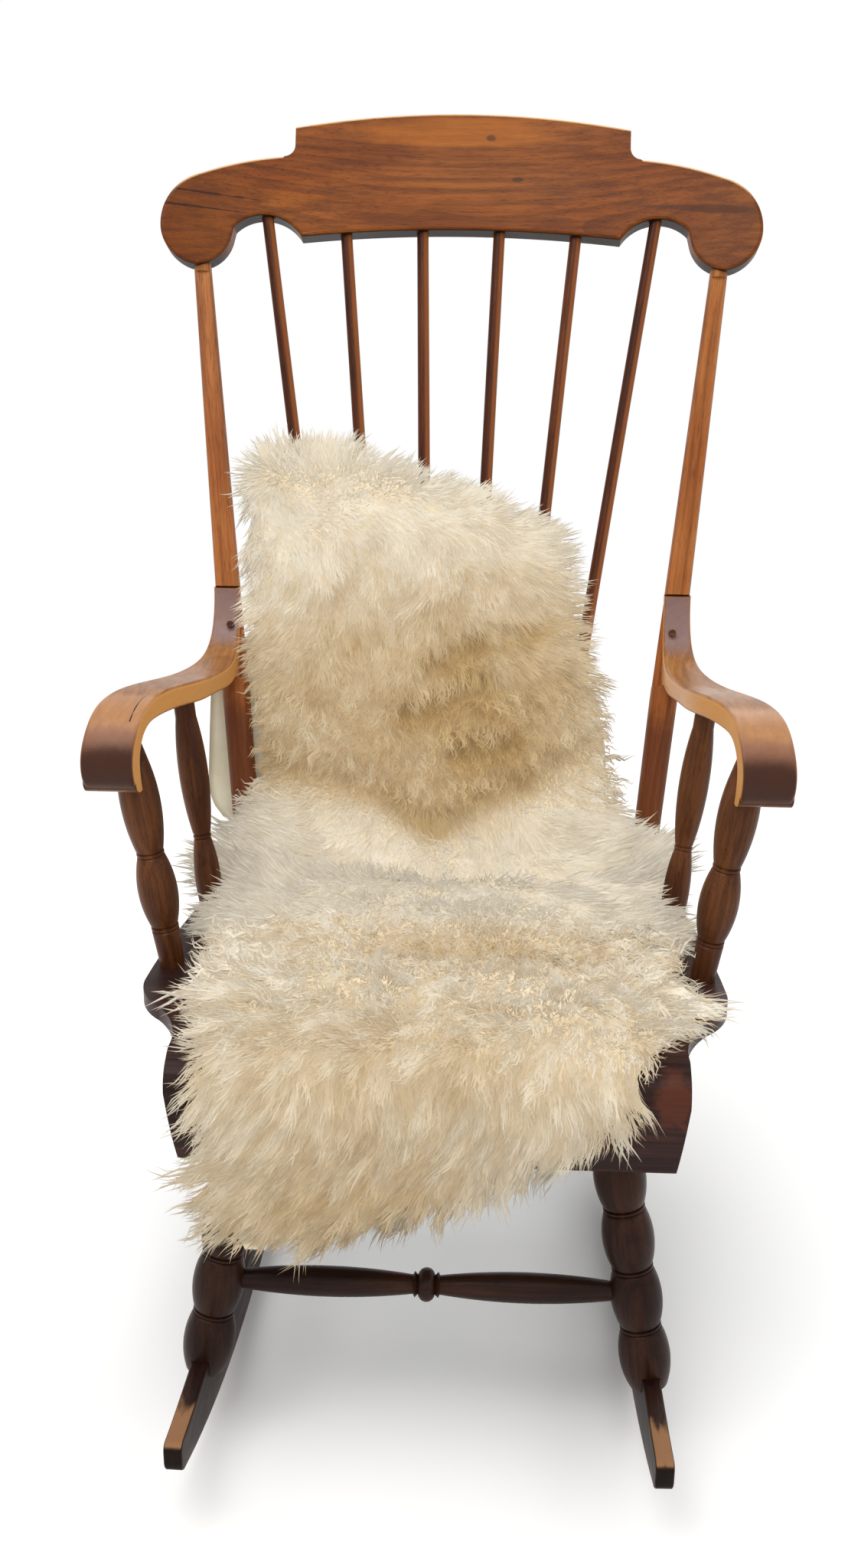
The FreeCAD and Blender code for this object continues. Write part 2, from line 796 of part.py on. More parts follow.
# Points round the left half of the plank from its front corner: the middle and end of
# each curve. X is a share of the way from the neck to the ear, or of the back's half
# width where a curve lies behind the ear, and Y a share of the depth from the front
seat_neck_shares = ((0.125, 0.108), (0.5, 0.18))
seat_ear_shares = ((0.90, 0.243), (1.0, 0.32))
seat_flank_shares = ((1.101, 0.605), (1.0, 0.89))
seat_corner_shares = ((0.9595, 0.965), (0.9, 1.0))


def seat_outline(z, share):
    """Plan of the plank, drawn in from its sides and back by a share."""
    depth = seat_back_y - seat_front_y

    def point(x, deep):
        return Vec(x * share, seat_front_y + depth * deep * share, z)

    def side_points(side):
        points = [point(side * seat_neck_x, 0.0)]
        for out, deep in seat_neck_shares + seat_ear_shares:
            points.append(point(side * (seat_neck_x + (seat_ear_x - seat_neck_x) * out), deep))
        for out, deep in seat_flank_shares + seat_corner_shares:
            points.append(point(side * seat_back_x * out, deep))
        return points

    edges = []
    for points in (side_points(1), side_points(-1)[::-1]):
        for first, middle, last in zip(points[::2], points[1::2], points[2::2]):
            edges.append(arc(first, middle, last))
    left, right = side_points(1), side_points(-1)
    edges.append(line(left[-1], right[-1]))
    edges.append(line(right[0], left[0]))
    return Part.Wire(Part.__sortEdges__(edges))


def seat_plank():
    """Shaped plank, bevelled below its edge, hollowed above for the sitter."""
    low = seat_top - seat_thickness
    edge = seat_top - seat_edge_thickness
    upper = Part.Face(seat_outline(edge, 1.0)).extrude(Vec(0, 0, seat_edge_thickness))
    bevel = Part.makeLoft([seat_outline(low, seat_bevel_share), seat_outline(edge, 1.0)], True, True)
    plank = upper.fuse(bevel).removeSplitter()
    hollow = Part.makeSphere(saddle_radius, Vec(0, saddle_y, seat_top - saddle_depth + saddle_radius))
    plank = plank.cut(hollow)
    for socket in seat_sockets():
        plank = plank.cut(socket)
    return plank


def socket(start, end, shoulder, tenon, length):
    """Housing for a shoulder and a round hole for its tenon, let in at start
    by a piece that stands towards end."""
    depth = sink(start, end, shoulder)
    mouth = along(start, end, overrun)
    return [cylinder(start, mouth, shoulder + tenon_clearance, depth),
            cylinder(start, mouth, tenon + tenon_clearance, depth + length + tenon_clearance)]


def seat_sockets():
    """Round sockets for all that is let into the seat."""
    sockets = []
    front_foot, front_top = leg_line(front_leg_top_y, front_leg_foot_y)
    rear_foot, rear_top = leg_line(rear_leg_top_y, rear_leg_foot_y)
    for start, end, shoulder, tenon, length in (
            (post_foot(), post_top(), post_foot_radius, post_foot_tenon_radius, seat_tenon_length),
            arm_post_line() + (arm_post_groove_radius, arm_post_tenon_radius, arm_seat_tenon_length),
            arm_spindle_line() + (arm_spindle_neck_radius, arm_spindle_tenon_radius, arm_seat_tenon_length),
            (front_top, front_foot, leg_shoulder_radius, leg_tenon_radius, leg_tenon_length),
            (rear_top, rear_foot, leg_shoulder_radius, leg_tenon_radius, leg_tenon_length)):
        for side in (1, -1):
            sockets += socket(Vec(side * start.x, start.y, start.z), Vec(side * end.x, end.y, end.z),
                              shoulder, tenon, length)
    for number in range(spindle_count):
        rows = spindle_stations(number)
        sockets.append(cylinder(rows[0][0], rows[1][0], spindle_end_radius + tenon_clearance,
                                tenon_clearance, overrun))
    return sockets


# Section of the roll: shares of its depth from the front and of its drop from the seat,
# as the middle and end of each curve
roll_top_shares = ((0.775, 0.01), (0.55, 0.04))
roll_front_shares = ((0.12, 0.14), (0.0, 0.33))
roll_under_shares = ((0.06, 0.68), (0.3, 1.0))
roll_back_share = 0.9
roll_square_share = 0.3


def seat_front_roll():
    """Rail glued along the plank's front edge, rounded over and hanging down."""
    front = seat_front_y - roll_depth
    low = seat_top - roll_drop
    top_back = Vec(0, seat_front_y, seat_top)
    edges = []
    last = top_back
    for shares in (roll_top_shares, roll_front_shares, roll_under_shares):
        middle, end = [Vec(0, front + roll_depth * deep, seat_top - roll_drop * down) for deep, down in shares]
        edges.append(arc(last, middle, end))
        last = end
    low_back = Vec(0, front + roll_depth * roll_back_share, low)
    edges += [line(last, low_back), line(low_back, top_back)]
    rail = outline_face(edges).extrude(Vec(2 * seat_neck_x, 0, 0))
    rail.translate(Vec(-seat_neck_x, 0, 0))
    corners = [Vec(seat_neck_x, 0, seat_top + overrun), Vec(seat_neck_x, 0, seat_top - roll_drop * roll_square_share),
               Vec(seat_neck_x - roll_end_taper, 0, low), Vec(seat_neck_x - roll_end_taper, 0, low - overrun)]
    corners += [Vec(-corner.x, 0, corner.z) for corner in reversed(corners)]
    ends = Part.Face(Part.makePolygon(corners + corners[:1])).extrude(Vec(0, 2 * seat_front_y, 0))
    return rail.common(ends)


# Sheepskin

# Places along the skin from the top of the back to the front's low edge. Back:
# share of the height from the seat, left and right edge as shares of the half width
fleece_back_shares = ((1.00, -0.73, -0.52, 0.45), (0.94, -0.87, -0.33, 0.75), (0.87, -0.90, 0.10, 0.9),
                      (0.78, -0.89, 0.46, 1.0), (0.66, -0.87, 0.57, 1.0), (0.52, -0.82, 0.63, 1.05),
                      (0.36, -0.78, 0.73, 1.1), (0.20, -0.75, 0.76, 1.15))
# Seat: share of the depth from the back crease to the roll, and the same edges
fleece_seat_shares = ((0.10, -0.79, 0.79, 1.2), (0.30, -0.82, 0.82, 1.2), (0.47, -0.88, 0.87, 1.15),
                      (0.64, -0.90, 0.92, 1.1), (0.82, -0.88, 0.96, 1.1), (0.95, -0.86, 0.94, 1.1))
# Over the roll's shoulder: the same edges and the thickness
fleece_shoulder_shares = (-0.85, 0.90, 1.1)
# Front: share of the drop from the seat to the lowest edge, and the same edges
fleece_front_shares = ((0.20, -0.84, 0.84, 1.05), (0.36, -0.83, 0.62, 1.0), (0.55, -0.83, 0.32, 0.95),
                       (0.72, -0.82, 0.02, 0.9), (0.88, -0.77, -0.30, 0.8), (1.00, -0.70, -0.46, 0.5))


def fleece_section(base, outward, left, right, thickness):
    """Closed outline across the skin: flat below, crowned above, round at its edges."""
    low = [Vec(left, base.y, base.z), Vec(right, base.y, base.z)]
    side_rise = outward * (thickness * fleece_edge_share)
    high = [point + side_rise for point in low]
    bulge = Vec(thickness * fleece_bulge_share, 0, 0)
    crown = Vec((left + right) / 2, base.y, base.z) + outward * thickness
    return Part.Wire([line(low[0], low[1]),
                      arc(low[1], low[1] + side_rise / 2 + bulge, high[1]),
                      arc(high[1], crown, high[0]),
                      arc(high[0], low[0] + side_rise / 2 - bulge, low[0])])


def fleece_rows():
    """Base point, outward direction and edges of each section."""
    lean = back_lean()
    away = Vec(0, -math.cos(lean), math.sin(lean))
    gap = spindle_swell_radius + fleece_clearance
    rows = []
    height = fleece_back_top_z - seat_top
    foot_y = spindle_seat_y - spindle_seat_sag
    for share, left, right, thick in fleece_back_shares:
        z = seat_top + height * share
        base = Vec(0, foot_y + (z - seat_top) * math.tan(lean), z) + away * gap
        rows.append((base, away, left, right, thick))
    crease = rows[-1][0].y - fleece_thickness * fleece_crease_share
    depth = crease - seat_front_y
    for share, left, right, thick in fleece_seat_shares:
        turn = max(0.0, 1 - share / fleece_turn_share)
        outward = away * turn + UP * (1 - turn)
        outward.normalize()
        lift = fleece_thickness * fleece_lift_share * turn
        base = Vec(0, crease - depth * share, seat_top + fleece_clearance + lift)
        rows.append((base, outward, left, right, thick))
    front = seat_front_y - roll_depth - fleece_clearance
    drop = seat_top - fleece_front_low_z
    shoulder = Vec(0, front + roll_depth * fleece_shoulder_share, seat_top - fleece_clearance)
    rows.append((shoulder, unit(Vec(), Vec(0, -1, 1))) + fleece_shoulder_shares)
    for share, left, right, thick in fleece_front_shares:
        base = Vec(0, front, seat_top - drop * share)
        rows.append((base, Vec(0, -1, 0), left, right, thick))
    return rows


def sheepskin():
    sections = []
    for base, outward, left, right, thick in fleece_rows():
        sections.append(fleece_section(base, outward, fleece_half_width * left,
                                       fleece_half_width * right, fleece_thickness * thick))
    return Part.makeLoft(sections, True, True)


def with_sockets(piece, lines):
    for start, end in lines:
        for hole in stretcher_sockets(start, end):
            piece = piece.cut(hole)
    return piece


def build():
    os.makedirs("parts", exist_ok=True)
    front = leg_at_height(front_leg_top_y, front_leg_foot_y, stretcher_z)
    rear = leg_at_height(rear_leg_top_y, rear_leg_foot_y, stretcher_z)
    across_front = (Vec(-front.x, front.y, front.z), front)
    across_rear = (Vec(-rear.x, rear.y, rear.z), rear)
    along_side = (front, rear)
    pieces = {
        "rocker": rocker(),
        "front_leg": with_sockets(leg(front_leg_top_y, front_leg_foot_y), (across_front, along_side)),
        "rear_leg": with_sockets(leg(rear_leg_top_y, rear_leg_foot_y), (across_rear, along_side)),
        "side_stretcher": stretcher(*along_side),
        "back_post": back_post().cut(arm_pin(tenon_clearance)),
        "arm": arm(),
        "arm_post": arm_post(),
        "arm_spindle": arm_spindle(),
    }
    for name, piece in pieces.items():
        write(name + "_left", [piece])
        write(name + "_right", [mirrored(piece)])
    write("front_stretcher", [stretcher(*across_front)])
    write("rear_stretcher", [stretcher(*across_rear)])
    write("seat_plank", [seat_plank()])
    write("seat_front_roll", [seat_front_roll()])
    write("crest_rail", [crest_rail()])
    for number in range(spindle_count):
        write("back_spindle_" + str(number + 1), [back_spindle(number)])
    pins = [rocker_pin(front_leg_foot_y), rocker_pin(rear_leg_foot_y)]
    write("rocker_pins", pins + [mirrored(pin) for pin in pins])
    write("arm_pins", [arm_pin(), mirrored(arm_pin())])
    write("sheepskin", [sheepskin()])


build()
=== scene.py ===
import bmesh
import bpy
import json
import math
import random
from collections import namedtuple
import numpy as np
from mathutils import Matrix, Vector, noise

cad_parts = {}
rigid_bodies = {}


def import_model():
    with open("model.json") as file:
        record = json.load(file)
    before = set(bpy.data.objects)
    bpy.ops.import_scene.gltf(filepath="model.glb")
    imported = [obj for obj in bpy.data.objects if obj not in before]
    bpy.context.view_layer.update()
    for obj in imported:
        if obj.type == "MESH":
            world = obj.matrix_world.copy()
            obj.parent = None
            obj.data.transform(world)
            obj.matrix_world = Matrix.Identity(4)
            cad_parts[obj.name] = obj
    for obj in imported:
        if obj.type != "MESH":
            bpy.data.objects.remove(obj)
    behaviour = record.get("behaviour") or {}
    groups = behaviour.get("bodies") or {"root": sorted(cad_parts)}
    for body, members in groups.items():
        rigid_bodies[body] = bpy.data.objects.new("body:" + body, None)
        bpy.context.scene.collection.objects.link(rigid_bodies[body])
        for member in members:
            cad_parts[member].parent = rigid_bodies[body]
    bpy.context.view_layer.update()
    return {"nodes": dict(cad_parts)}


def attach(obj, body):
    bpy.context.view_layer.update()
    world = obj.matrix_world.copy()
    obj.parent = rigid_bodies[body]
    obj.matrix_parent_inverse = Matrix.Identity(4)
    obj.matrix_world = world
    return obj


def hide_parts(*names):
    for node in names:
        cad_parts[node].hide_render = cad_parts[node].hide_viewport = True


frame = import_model()
nodes = frame["nodes"]
chance = random.Random(7)

# Sizes are in metres. The sitter faces -Y and Z is up.


# Node trees

def step(tree, kind, inputs=None, **settings):
    """One node of a tree, with its settings and what feeds its inputs."""
    node = tree.nodes.new(kind)
    for name, value in settings.items():
        setattr(node, name, value)
    for name, value in (inputs or {}).items():
        if isinstance(value, bpy.types.NodeSocket):
            tree.links.new(value, node.inputs[name])
        else:
            node.inputs[name].default_value = value
    return node


def sum_of(tree, operation, *values, clamp=False):
    return step(tree, "ShaderNodeMath", dict(enumerate(values)), operation=operation, use_clamp=clamp).outputs[0]


def vector_of(tree, operation, *values):
    """A step of vector maths: a vector, or a number from LENGTH and DOT_PRODUCT."""
    out = "Value" if operation in ("LENGTH", "DOT_PRODUCT") else "Vector"
    return step(tree, "ShaderNodeVectorMath", dict(enumerate(values)), operation=operation).outputs[out]


def set_inputs(node, values):
    for label, value in values.items():
        node.inputs[label].default_value = value


def scaled(tree, vector, share):
    return step(tree, "ShaderNodeVectorMath", {0: vector, "Scale": share}, operation="SCALE").outputs["Vector"]


def ramp(tree, value, low, high, start=0.0, end=1.0):
    """A value taken from one range to another and held inside it."""
    return step(tree, "ShaderNodeMapRange", {"Value": value, "From Min": low, "From Max": high,
                "To Min": start, "To Max": end}, interpolation_type="SMOOTHSTEP").outputs["Result"]


def blend(tree, share, first, second, kind="MIX"):
    """Two colours mixed by a share."""
    return step(tree, "ShaderNodeMix", {0: share, 6: first, 7: second},
                data_type="RGBA", blend_type=kind).outputs[2]


def noise_of(tree, vector, scale, detail=3.0, rough=0.55):
    """Noise over a vector, with one scale or with one for each axis."""
    if isinstance(scale, tuple):
        vector, scale = vector_of(tree, "MULTIPLY", vector, scale), 1.0
    return step(tree, "ShaderNodeTexNoise", {"Vector": vector, "Scale": scale, "Detail": detail,
                "Roughness": rough}).outputs["Fac"]


def either_way(tree, noise_value, amount):
    """Noise turned into a swing up and down round nothing."""
    return sum_of(tree, "MULTIPLY", sum_of(tree, "SUBTRACT", noise_value, 0.5), amount)


def relief(tree, surface, height, strength, distance):
    bump = step(tree, "ShaderNodeBump", {"Height": height, "Strength": strength, "Distance": distance})
    tree.links.new(bump.outputs["Normal"], surface.inputs["Normal"])


def sockets_of(tree, taken, put_out):
    """Gives a node tree its named inputs and outputs, listed by kind."""
    for way, listed in (("INPUT", taken), ("OUTPUT", put_out)):
        for kind, labels in listed:
            for label in labels:
                tree.interface.new_socket(label, in_out=way, socket_type="NodeSocket" + kind)
    return step(tree, "NodeGroupInput").outputs, step(tree, "NodeGroupOutput").inputs


def new_group(name, taken, put_out):
    """A shader node group with named inputs and outputs."""
    tree = bpy.data.node_groups.new(name, "ShaderNodeTree")
    return (tree, *sockets_of(tree, taken, put_out))


def placed_group(tree, group, vector, values):
    """A shader node group in a material, with its own values."""
    node = step(tree, "ShaderNodeGroup", None, node_tree=group)
    tree.links.new(vector, node.inputs["Vector"])
    set_inputs(node, values)
    return node.outputs


def new_material(name):
    """A material with its node tree, its Principled BSDF and Object coordinates."""
    material = bpy.data.materials.new(name)
    material.use_nodes = True
    tree = material.node_tree
    return material, tree, tree.nodes["Principled BSDF"], step(tree, "ShaderNodeTexCoord").outputs["Object"]


def rgb(red, green, blue):
    return (red, green, blue, 1.0)


def wood_figure():
    """Year rings, streaks, pores and patches of wood whose grain runs along X."""
    tree, given, made = new_group(
        "Wood figure",
        [("Vector", ["Vector"]), ("Color", ["Dark", "Middle", "Light"]),
         ("Float", ["Ring gap", "Ripple", "Figure", "Patches", "Shine"])],
        [("Color", ["Color"]), ("Float", ["Height", "Roughness"])])
    vector = given["Vector"]
    ripple = either_way(tree, noise_of(tree, vector, (1.6, 9.0, 9.0)), given["Ripple"])
    across = vector_of(tree, "LENGTH", vector_of(tree, "MULTIPLY", vector, (0.02, 1.0, 1.0)))
    turn = sum_of(tree, "DIVIDE", sum_of(tree, "ADD", across, ripple), given["Ring gap"])
    ring = sum_of(tree, "POWER", sum_of(tree, "FRACT", turn), 2.2)
    streak = noise_of(tree, vector, (5.0, 150.0, 150.0), 5.0, 0.62)
    pore = ramp(tree, noise_of(tree, vector, (60.0, 1300.0, 1300.0), 2.0), 0.56, 0.68)
    patch = ramp(tree, noise_of(tree, vector, (5.0, 14.0, 14.0), 4.0), 0.36, 0.66)
    ring_share = sum_of(tree, "MULTIPLY", ring, given["Figure"])
    colour = blend(tree, ring_share, given["Middle"], given["Dark"])
    colour = blend(tree, sum_of(tree, "MULTIPLY", patch, given["Patches"]), colour, given["Light"])
    fine = ramp(tree, streak, 0.34, 0.64)
    colour = blend(tree, sum_of(tree, "MULTIPLY", sum_of(tree, "SUBTRACT", 1.0, fine), given["Figure"]),
                   colour, given["Dark"])
    colour = blend(tree, sum_of(tree, "MULTIPLY", pore, 0.45), colour, given["Dark"], "MULTIPLY")
    tree.links.new(colour, made["Color"])
    height = sum_of(tree, "SUBTRACT", sum_of(tree, "MULTIPLY", fine, 0.5), sum_of(tree, "MULTIPLY", pore, 0.7))
    tree.links.new(sum_of(tree, "SUBTRACT", height, sum_of(tree, "MULTIPLY", ring, 0.3)), made["Height"])
    rough = sum_of(tree, "ADD", given["Shine"], sum_of(tree, "MULTIPLY", sum_of(tree, "SUBTRACT", 0.6, patch), 0.14))
    tree.links.new(rough, made["Roughness"])
    return tree


def wear_and_sheen_patch():
    """Mask of an uneven spot round a centre, used for rubbed places and for painted sheen."""
    tree, given, made = new_group(
        "Wear and sheen patch", [("Vector", ["Vector", "Centre", "Reach", "Grain"]), ("Float", ["Unevenness"])],
        [("Float", ["Mask"])])
    offset = vector_of(tree, "DIVIDE", vector_of(tree, "SUBTRACT", given["Vector"], given["Centre"]), given["Reach"])
    near = vector_of(tree, "LENGTH", offset)
    rough = noise_of(tree, vector_of(tree, "MULTIPLY", given["Vector"], given["Grain"]), 1.0, 4.0, 0.6)
    edge = sum_of(tree, "ADD", near, either_way(tree, rough, given["Unevenness"]))
    tree.links.new(ramp(tree, edge, 1.0, 0.55), made["Mask"])
    return tree


def crack_line():
    """Mask of a thin crack between two points, with a slight wander."""
    tree, given, made = new_group(
        "Crack line", [("Vector", ["Vector", "Start", "End", "Plane"]), ("Float", ["Width", "Wander"])],
        [("Float", ["Mask"])])
    flat = given["Plane"]
    start = vector_of(tree, "MULTIPLY", given["Start"], flat)
    way = vector_of(tree, "SUBTRACT", vector_of(tree, "MULTIPLY", given["End"], flat), start)
    offset = vector_of(tree, "SUBTRACT", vector_of(tree, "MULTIPLY", given["Vector"], flat), start)
    along = sum_of(tree, "DIVIDE", vector_of(tree, "DOT_PRODUCT", offset, way),
                   vector_of(tree, "DOT_PRODUCT", way, way), clamp=True)
    away = vector_of(tree, "LENGTH", vector_of(tree, "SUBTRACT", offset, scaled(tree, way, along)))
    drift = either_way(tree, noise_of(tree, given["Vector"], 60.0, 3.0), given["Wander"])
    gap = sum_of(tree, "ABSOLUTE", sum_of(tree, "ADD", away, drift))
    thin = sum_of(tree, "MULTIPLY", given["Width"], sum_of(tree, "SUBTRACT", 1.25, along))
    tree.links.new(ramp(tree, gap, sum_of(tree, "MULTIPLY", thin, 2.0), thin), made["Mask"])
    return tree


figure_group = wood_figure()
wear_and_sheen_group = wear_and_sheen_patch()
crack_group = crack_line()


def lengthwise(node):
    """Middle of a piece and the direction of its grain, which is its long way."""
    points = np.array([v.co for v in node.data.vertices])
    centre = (points.min(0) + points.max(0)) / 2
    axes = np.linalg.svd(points - centre, full_matrices=False)[2]
    return Vector(centre), Vector(axes[0])


def grain_turn(direction):
    """Turn that takes X to the grain's direction."""
    return direction.to_track_quat("X", "Z").to_euler()


# A mark on wood: its mask, tint and strength, and what it adds to roughness or sinks in
Mark = namedtuple("Mark", "mask tint strength rough depth", defaults=(1.0, 0.0, 0.0))


def wood(name, centre, direction, tones, gap=0.007, ripple=0.03, figure=0.6, patches=0.6, shine=0.36,
         coat=0.1, pith=(0.0, 0.02, 0.03), marks=()):
    """Finished wood of one piece: its figure, its marks and its old varnish."""
    material, tree, surface, place = new_material(name)
    turned = step(tree, "ShaderNodeMapping", {"Vector": place, "Location": centre,
                  "Rotation": grain_turn(direction)}, vector_type="TEXTURE").outputs["Vector"]
    shifted = vector_of(tree, "ADD", turned, pith)
    made = placed_group(tree, figure_group, shifted, {
        "Ring gap": gap, "Ripple": ripple, "Dark": tones[0], "Middle": tones[1], "Light": tones[2],
        "Figure": figure, "Patches": patches, "Shine": shine})
    colour, rough, height = made["Color"], made["Roughness"], made["Height"]
    for mark in marks:
        mask = mark.mask(tree, place)
        colour = blend(tree, sum_of(tree, "MULTIPLY", mask, mark.strength), colour, mark.tint)
        if mark.rough:
            rough = sum_of(tree, "ADD", rough, sum_of(tree, "MULTIPLY", mask, mark.rough))
        if mark.depth:
            height = sum_of(tree, "SUBTRACT", height, sum_of(tree, "MULTIPLY", mask, mark.depth))
    tree.links.new(colour, surface.inputs["Base Color"])
    tree.links.new(rough, surface.inputs["Roughness"])
    relief(tree, surface, height, 0.25, 0.0006)
    set_inputs(surface, {"Coat Weight": coat, "Coat Roughness": 0.25, "Specular IOR Level": 0.08})
    return material


def spot(centre, reach, uneven=0.8, grain=(30.0, 30.0, 30.0)):
    """A place for a list of marks: rubbed or stained wood, and painted sheen on the arms."""
    def mask(tree, place):
        return placed_group(tree, wear_and_sheen_group, place, {
            "Centre": centre, "Reach": reach, "Unevenness": uneven, "Grain": grain})["Mask"]
    return mask


def crack(start, end, width=0.0006, wander=0.003, plane=(1.0, 0.0, 1.0)):
    """A crack between two points for a list of marks."""
    def mask(tree, place):
        return placed_group(tree, crack_group, place, {
            "Start": start, "End": end, "Width": width, "Wander": wander, "Plane": plane})["Mask"]
    return mask


def facing(axis, low, high, absolute=False):
    """Faces that look a given way, and none of the others."""
    def mask(tree, place):
        normal = step(tree, "ShaderNodeNewGeometry").outputs["Normal"]
        part = vector_of(tree, "DOT_PRODUCT", normal, axis)
        if absolute:
            part = sum_of(tree, "ABSOLUTE", part)
        return ramp(tree, part, low, high)
    return mask


def both(first, second):
    def mask(tree, place):
        return sum_of(tree, "MULTIPLY", first(tree, place), second(tree, place))
    return mask


# Finishes of the wood, each from dark to light
crest_tones = (rgb(0.070, 0.016, 0.002), rgb(0.175, 0.042, 0.003), rgb(0.27, 0.078, 0.007))
post_tones = (rgb(0.11, 0.028, 0.007), rgb(0.30, 0.092, 0.022), rgb(0.42, 0.165, 0.046))
spindle_tones = (rgb(0.022, 0.005, 0.002), rgb(0.062, 0.015, 0.006), rgb(0.14, 0.038, 0.010))
arm_tones = (rgb(0.085, 0.030, 0.009), rgb(0.29, 0.115, 0.032), rgb(0.44, 0.215, 0.070))
turned_tones = (rgb(0.024, 0.007, 0.003), rgb(0.070, 0.022, 0.008), rgb(0.18, 0.065, 0.022))
lower_tones = (rgb(0.005, 0.0016, 0.0012), rgb(0.019, 0.0064, 0.0036), rgb(0.074, 0.026, 0.012))
dark_tones = (rgb(0.008, 0.003, 0.003), rgb(0.028, 0.011, 0.009), rgb(0.06, 0.022, 0.016))
pale_wood = rgb(0.44, 0.235, 0.105)
soot = rgb(0.006, 0.004, 0.003)
# Painted reflection: grey sheen for the arms' lap faces
painted_sheen_grey = rgb(0.20, 0.135, 0.135)


def finish(name, tones, direction=None, **looks):
    """Puts wood of its own on a piece, with the grain along its length unless told otherwise."""
    centre, length = lengthwise(nodes[name])
    label = name.replace("_", " ").capitalize() + " wood"
    material = wood(label, centre, direction or length, tones, **looks)
    mesh = nodes[name].data
    if len(mesh.materials):
        for index in range(len(mesh.materials)):
            mesh.materials[index] = material
    else:
        mesh.materials.append(material)


